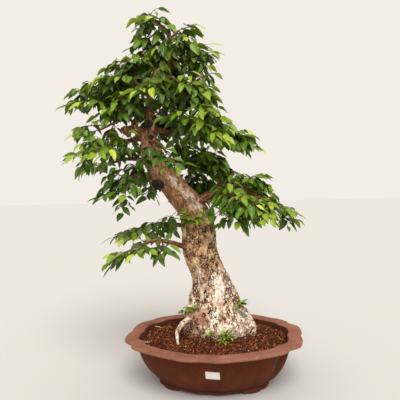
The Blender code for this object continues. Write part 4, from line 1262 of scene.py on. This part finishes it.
def soil_places(shares, wood, draws):
    """The places of the granules: a stirred grid on the soil's mound, up to the wood."""
    edge = shares * np.array(SOIL_EDGE[:2])
    angles = np.arctan2(edge[:, 1], edge[:, 0])
    order = np.argsort(angles)
    grid = []
    for r in range(int(GRAIN_FIELD[1] / (GRAIN_SPACING * GRAIN_ROWS))):
        for c in range(int(GRAIN_FIELD[0] / GRAIN_SPACING)):
            x = -GRAIN_FIELD[0] / 2 + (c + 0.5 * (r % 2)) * GRAIN_SPACING
            grid.append((x, -GRAIN_FIELD[1] / 2 + r * GRAIN_SPACING * GRAIN_ROWS))
    spots = np.array(grid) + draws.uniform(-GRAIN_STRAY, GRAIN_STRAY, (len(grid), 2))
    reaches = np.hypot(edge[:, 0], edge[:, 1])[order]
    reach = np.interp(np.arctan2(spots[:, 1], spots[:, 0]), angles[order], reaches, period=math.tau)
    share = np.hypot(spots[:, 0], spots[:, 1]) / reach
    spots, share = spots[share < GRAIN_REACH], share[share < GRAIN_REACH]
    height = SOIL_EDGE[2] + SOIL_RISE * (1 - np.maximum(share, SOIL_FLAT))
    height += SOIL_WAVE * field(np.column_stack([spots * 1000, np.zeros(len(spots))]), 1 / 24, 2.0)
    places = []
    for place in np.column_stack([spots, height]):
        near, facing, _, distance = wood.find_nearest(Vector(place))
        inside = (Vector(place) - near).dot(facing) < 0
        if not (inside and distance > GRAIN_DEPTH):
            places.append(place)
    return places


def make_soil(shares, wood, finish, base_finish):
    """Granules over the soil, and a few fibres of root."""
    repaint("soil", base_finish)
    draws = np.random.default_rng(SEED)
    places = soil_places(shares, wood, draws)
    golden = (1 + 5**0.5) / 2
    flat = [(x, y * golden, 0) for y in (1, -1) for x in (-1, 1)]
    corners = flat + [(0, x, y) for x, y, _ in flat] + [(y, 0, x) for x, y, _ in flat]
    corners = np.array(corners) / math.hypot(1, golden)
    heap = Heap()
    for place in places:
        size = draws.uniform(*GRAIN_SIZE) * (1.25 if draws.random() < 0.08 else 1.0)
        spin = np.array(Euler(draws.uniform(0, math.tau, 3)).to_matrix())
        shape = corners * draws.uniform(0.75, 1.2, (12, 1)) * (size * draws.uniform(0.65, 1.25, 3))
        lift = draws.uniform(-0.0010, 0.0016)
        shade = (draws.random(), draws.random(), 0, 1)
        heap.add(shape @ spin.T + place + (0, 0, lift), GRAIN_FACES, shade)
    heap.add(corners * SCRAP_HALVES + np.array(SCRAP) * MM, GRAIN_FACES, (0.5, 0.5, 0.5, 1))
    for fibre in FIBRES:
        route = metric_route(fibre, 2.0)
        rings, _ = ring_points(route, np.linspace(*FIBRE_RADII, len(route)), 6)
        heap.add_tube(rings, (0.5, 0.5, 1, 1))
    heap.piece("soil_granules", finish, "soil", smooth=False)


# Finishes


def bark_finish():
    """Cream and cracked at the foot, orange and fibrous above, red-brown on the leader and limbs."""
    made = Finish("hornbeam_bark", 0.88, 0.18)
    dark, pale, red, crevice_shade = made.channels("shade")
    grey, zone, _, _ = made.channels("mark")
    blotch = made.noise(48, 5, 0.6, (1, 1, 0.7))
    patch = made.noise(75, 4, 0.6, (1, 1, 0.7), (5, 3, 1))
    fleck = made.noise(210, 3, 0.7, (1, 1, 0.60), (3, 1, 2), 1.0)
    fibre = made.noise(260, 4, 0.65, (1, 1, 0.12), (0, 2, 5))
    cream = blotch.ramp(
        (0.32, (0.50, 0.290, 0.165)), (0.42, (0.74, 0.540, 0.350)), (0.52, (0.92, 0.780, 0.600)),
        (0.70, (1.0, 0.930, 0.800)),
    )
    tan = blotch.ramp(
        (0.32, (0.270, 0.140, 0.062)), (0.45, (0.54, 0.330, 0.160)), (0.56, (0.76, 0.540, 0.300)),
        (0.70, (0.92, 0.720, 0.470)),
    )
    brown = fibre.ramp(
        (0.34, (0.130, 0.052, 0.022)), (0.46, (0.33, 0.142, 0.052)), (0.58, (0.50, 0.255, 0.106)),
        (0.70, (0.60, 0.400, 0.230)),
    )
    russet = fibre.ramp(
        (0.30, (0.050, 0.018, 0.009)), (0.50, (0.140, 0.050, 0.024)), (0.70, (0.27, 0.120, 0.060))
    )
    colour = made.mix(zone.rise(0.02, 0.34), cream, tan)
    colour = made.mix(zone.rise(0.42, 0.80), colour, brown)
    colour = made.mix(zone.rise(0.82, 1.0), colour, russet)
    lower = (1.0 - zone.rise(0.50, 0.80) * 0.35) * (1.0 - zone.rise(0.86, 0.96))
    colour = made.mix(red * 0.95, colour, made.mix(patch, (0.28, 0.080, 0.036), (0.66, 0.310, 0.170)))
    light = blotch.ramp(
        (0.36, (0.66, 0.510, 0.370)), (0.44, (0.88, 0.790, 0.670)), (0.54, (1.0, 0.970, 0.910))
    )
    colour = made.mix(pale * 0.85, colour, light)
    # Cracks between plates, fewer on the pale patches above the foot, and creases on the foot
    where = patch.rise(0.43, 0.55)
    height = made.value("ShaderNodeSeparateXYZ", {0: made.place()}, 2)
    low = height.rise(0.200, 0.165)
    calm = 1.0 - pale * (0.58 - low * 0.26)
    lines = made.cracks(125, 0.13, 0.50, 0.012) * (where * 0.80 + 0.20)
    fine = made.cracks(250, 0.14, 0.5, 0.008, (2, 3, 4)) * (where * 0.8)
    veil = lines.most(fine.most(fleck.rise(0.58, 0.62) * where)) * (lower * calm)
    creases = made.cracks(95, 0.10, 0.75, 0.018, (9, 2, 5))
    veil = veil.most(creases * (low * fleck.rise(0.49, 0.58)))
    # Long furrows that lean, and sunlit streaks, on the upper trunk
    flaky = zone.rise(0.55, 0.80) - zone.rise(0.88, 0.97)
    long = made.cracks(82, 0.12, 0.30, 0.014, (1, 2, 3), UPPER_LEAN)
    short = made.cracks(170, 0.12, 0.36, 0.010, (4, 2, 3), UPPER_LEAN)
    furrow = (long * 0.85).most(short * 0.5) * (flaky * (blotch.rise(0.60, 0.42) * 0.75 + 0.25))
    # Darker in the cracks: the procedural cracks' own dark, and painted shade in the relief's crevices
    deep = veil.most(crevice_shade)
    colour = made.mix(deep.rise(0.05, 0.60) * 0.85, colour, (0.42, 0.215, 0.120))
    colour = made.mix(deep.rise(0.50, 0.92), colour, (0.050, 0.020, 0.010))
    colour = made.mix(furrow, colour, (0.085, 0.033, 0.015))
    streak = made.noise(70, 4, 0.65, (1, 1, 0.45), (7, 1, 3))
    colour = made.mix(streak.rise(0.52, 0.66) * (flaky * 0.65), colour, (0.84, 0.57, 0.32))
    colour = made.mix(dark * fleck.rise(0.51, 0.56) * 0.85, colour, (0.075, 0.032, 0.017))
    colour = made.mix(grey, colour, made.mix(fibre, (0.15, 0.138, 0.126), (0.27, 0.255, 0.235)))
    return made.close(colour, veil.most(furrow) * -1.4 + fibre, 0.7, 0.0016)


def leaf_finish():
    """Green leaves with paler ribs, from dark to yellow-green by their tone, which is partly leaf age and
    partly painted light and shade, and red-brown twigs.
    """
    made = Finish("hornbeam_leaf", 0.38, 0.36)
    out, along, tone, chance = made.channels("shade")
    mottle = made.noise(300, 3, 0.6)
    green = (tone + (chance - 0.5) * 0.16).ramp(
        (0.0, (0.022, 0.058, 0.004)), (0.28, (0.055, 0.130, 0.007)), (0.50, (0.150, 0.275, 0.011)),
        (0.72, (0.400, 0.520, 0.028)), (1.0, (0.740, 0.780, 0.160)),
    )
    green = made.mix(mottle * 0.25, green, (0.02, 0.05, 0.006))
    veins = 1.0 - (along * float(LEAF_VEINS)).calc("PINGPONG", 0.5).rise(0.0, 0.14)
    lines = (1.0 - out.rise(0.03, 0.14)).most(veins * 0.35)
    green = made.mix(lines * 0.6, green, made.mix(0.45, green, (0.52, 0.58, 0.14)))
    stem = made.mix(mottle, (0.075, 0.028, 0.014), (0.24, 0.105, 0.050))
    return made.close(made.mix(tone.calc("LESS_THAN", -0.5), green, stem), lines + mottle, 0.25, 0.0004)


def clay_finish():
    """Unglazed red clay: dusty pink on the lip, darker on the wall with a painted highlight on its ridges,
    and darkest inside, where shade is painted.
    """
    made = Finish("red_clay", 0.74, 0.13)
    lip_share, inside, ridge, _ = made.channels("shade")
    cloud = made.noise(22, 5, 0.6)
    grain = made.noise(420, 3, 0.6)
    stain_and_highlight_noise = made.noise(48, 6, 0.7, (1, 1, 1), (4, 4, 1))
    wall = cloud.ramp(
        (0.30, (0.072, 0.0155, 0.0050)), (0.55, (0.102, 0.0235, 0.0080)), (0.75, (0.135, 0.036, 0.0150))
    )
    lip = cloud.ramp(
        (0.30, (0.205, 0.080, 0.048)), (0.55, (0.275, 0.112, 0.070)), (0.75, (0.33, 0.150, 0.100))
    )
    colour = made.mix(lip_share, wall, lip)
    # Painted shade over the pot's inner wall and floor
    colour = made.mix(inside * 0.45, colour, (0.050, 0.018, 0.011))
    colour = made.mix(stain_and_highlight_noise.rise(0.56, 0.70) * lip_share * 0.50, colour, (0.46, 0.30, 0.21))
    colour = made.mix(stain_and_highlight_noise.rise(0.46, 0.34) * lip_share * 0.55, colour, (0.150, 0.062, 0.040))
    # Painted highlight along the wall's ridges beside the notches, broken up by noise
    colour = made.mix(ridge * stain_and_highlight_noise.rise(0.42, 0.60) * 0.60, colour, (0.270, 0.130, 0.080))
    colour = made.mix(grain.rise(0.55, 0.75) * 0.22, colour, (0.30, 0.14, 0.09))
    return made.close(colour, grain, 0.25, 0.0006)


def granule_finish():
    """Fired clay granules: mostly dark red-brown, some orange, a few pale."""
    made = Finish("clay_granules", 0.92, 0.12)
    chance, other, kind, _ = made.channels("shade")
    grain = made.noise(500, 3, 0.6)
    colour = chance.ramp(
        (0.0, (0.022, 0.007, 0.003)), (0.35, (0.068, 0.018, 0.007)), (0.75, (0.190, 0.052, 0.017)),
        (0.94, (0.340, 0.108, 0.034)), (1.0, (0.54, 0.230, 0.090)),
    )
    colour = made.mix(other.rise(0.980, 0.988) * 0.85, colour, (0.62, 0.43, 0.27))
    colour = made.mix(grain * 0.4, colour, (0.03, 0.009, 0.004))
    colour = made.mix(kind.rise(0.2, 0.4), colour, (0.20, 0.028, 0.018))
    colour = made.mix(kind.rise(0.7, 0.9), colour, (0.70, 0.52, 0.36))
    return made.close(colour, grain, 0.5, 0.0006)


def plain_finish(name, roughness, specular, grain, stops, relief=None):
    """A finish whose colour and relief follow one fine noise."""
    made = Finish(name, roughness, specular)
    grain = made.noise(*grain)
    colour = grain.ramp(*stops)
    return made.close(colour, grain, *relief) if relief else made.close(colour)


def soil_finish():
    """The dark bed between the granules."""
    stops = ((0.35, (0.018, 0.007, 0.004)), (0.65, (0.080, 0.026, 0.012)))
    return plain_finish("soil_bed", 0.95, 0.1, (330, 4, 0.7), stops, (0.8, 0.002))


def paste_finish():
    """Black wound paste."""
    stops = ((0.3, (0.006, 0.005, 0.005)), (0.7, (0.030, 0.024, 0.020)))
    return plain_finish("wound_paste", 0.55, 0.4, (240, 4, 0.6), stops, (0.6, 0.0010))


def paper_finish():
    """Blank sticker paper."""
    stops = ((0.3, (0.74, 0.72, 0.68)), (0.7, (0.86, 0.84, 0.80)))
    return plain_finish("sticker_paper", 0.45, 0.5, (150, 3, 0.6), stops, (0.1, 0.0003))


def mesh_finish():
    """Black plastic of the drain screens."""
    stops = ((0.3, (0.018, 0.018, 0.018)), (0.7, (0.045, 0.043, 0.040)))
    return plain_finish("screen_plastic", 0.5, 0.5, (300, 3, 0.6), stops)


# Stage


def place_in_scene(name, data):
    made = bpy.data.objects.new(name, data)
    bpy.context.scene.collection.objects.link(made)
    return made


def make_stage():
    """Pale floor, soft light and the camera."""
    corners = [(x * FLOOR_HALF, y * FLOOR_HALF, 0) for x, y in ((-1, -1), (1, -1), (1, 1), (-1, 1))]
    ground = new_object("floor", corners, [(0, 1, 2, 3)])
    finish = Finish("pale_floor", 0.9, 0.1)
    finish.shader.inputs["Base Color"].default_value = (0.56, 0.55, 0.54, 1)
    ground.data.materials.append(finish.material)
    scene = bpy.context.scene
    scene.view_settings.view_transform = "Standard"
    world = bpy.data.worlds.new("studio")
    world.use_nodes = True
    sky = world.node_tree.nodes["Background"]
    sky.inputs["Color"].default_value = (0.896, 0.847, 0.783, 1)
    sky.inputs["Strength"].default_value = 1.0
    scene.world = world
    sun = place_in_scene("key", bpy.data.lights.new("key", "SUN"))
    sun.data.energy = SUN_STRENGTH
    sun.data.angle = SUN_SPREAD
    sun.data.color = SUN_COLOUR
    sun.rotation_euler = Vector(SUN_SOURCE).to_track_quat("Z", "Y").to_euler()
    camera = place_in_scene("camera", bpy.data.cameras.new("camera"))
    camera.data.sensor_width = SENSOR_MM
    camera.data.lens = FOCAL_SHARE * SENSOR_MM
    camera.location = np.array(CAMERA_PLACE) + PLACE
    camera.rotation_mode = "QUATERNION"
    tilt = Euler((math.pi / 2 - CAMERA_PITCH, 0, CAMERA_YAW)).to_quaternion()
    camera.rotation_quaternion = tilt @ Quaternion((0, 0, 1), CAMERA_ROLL)
    scene.camera = camera


def main():
    wood = make_wood(bark_finish())
    green = leaf_finish()
    for index, name in enumerate(LIMBS):
        limb_foliage(name, index, wood, green)
    crown_foliage(wood, green)
    sprouts(wood, green)
    make_seals(wood, paste_finish())
    shares, wall = make_pot(clay_finish())
    make_label(wall, paper_finish())
    make_soil(shares, wood, granule_finish(), soil_finish())
    for name in ("drain_screen_left", "drain_screen_right"):
        repaint(name, mesh_finish())
    make_stage()


main()
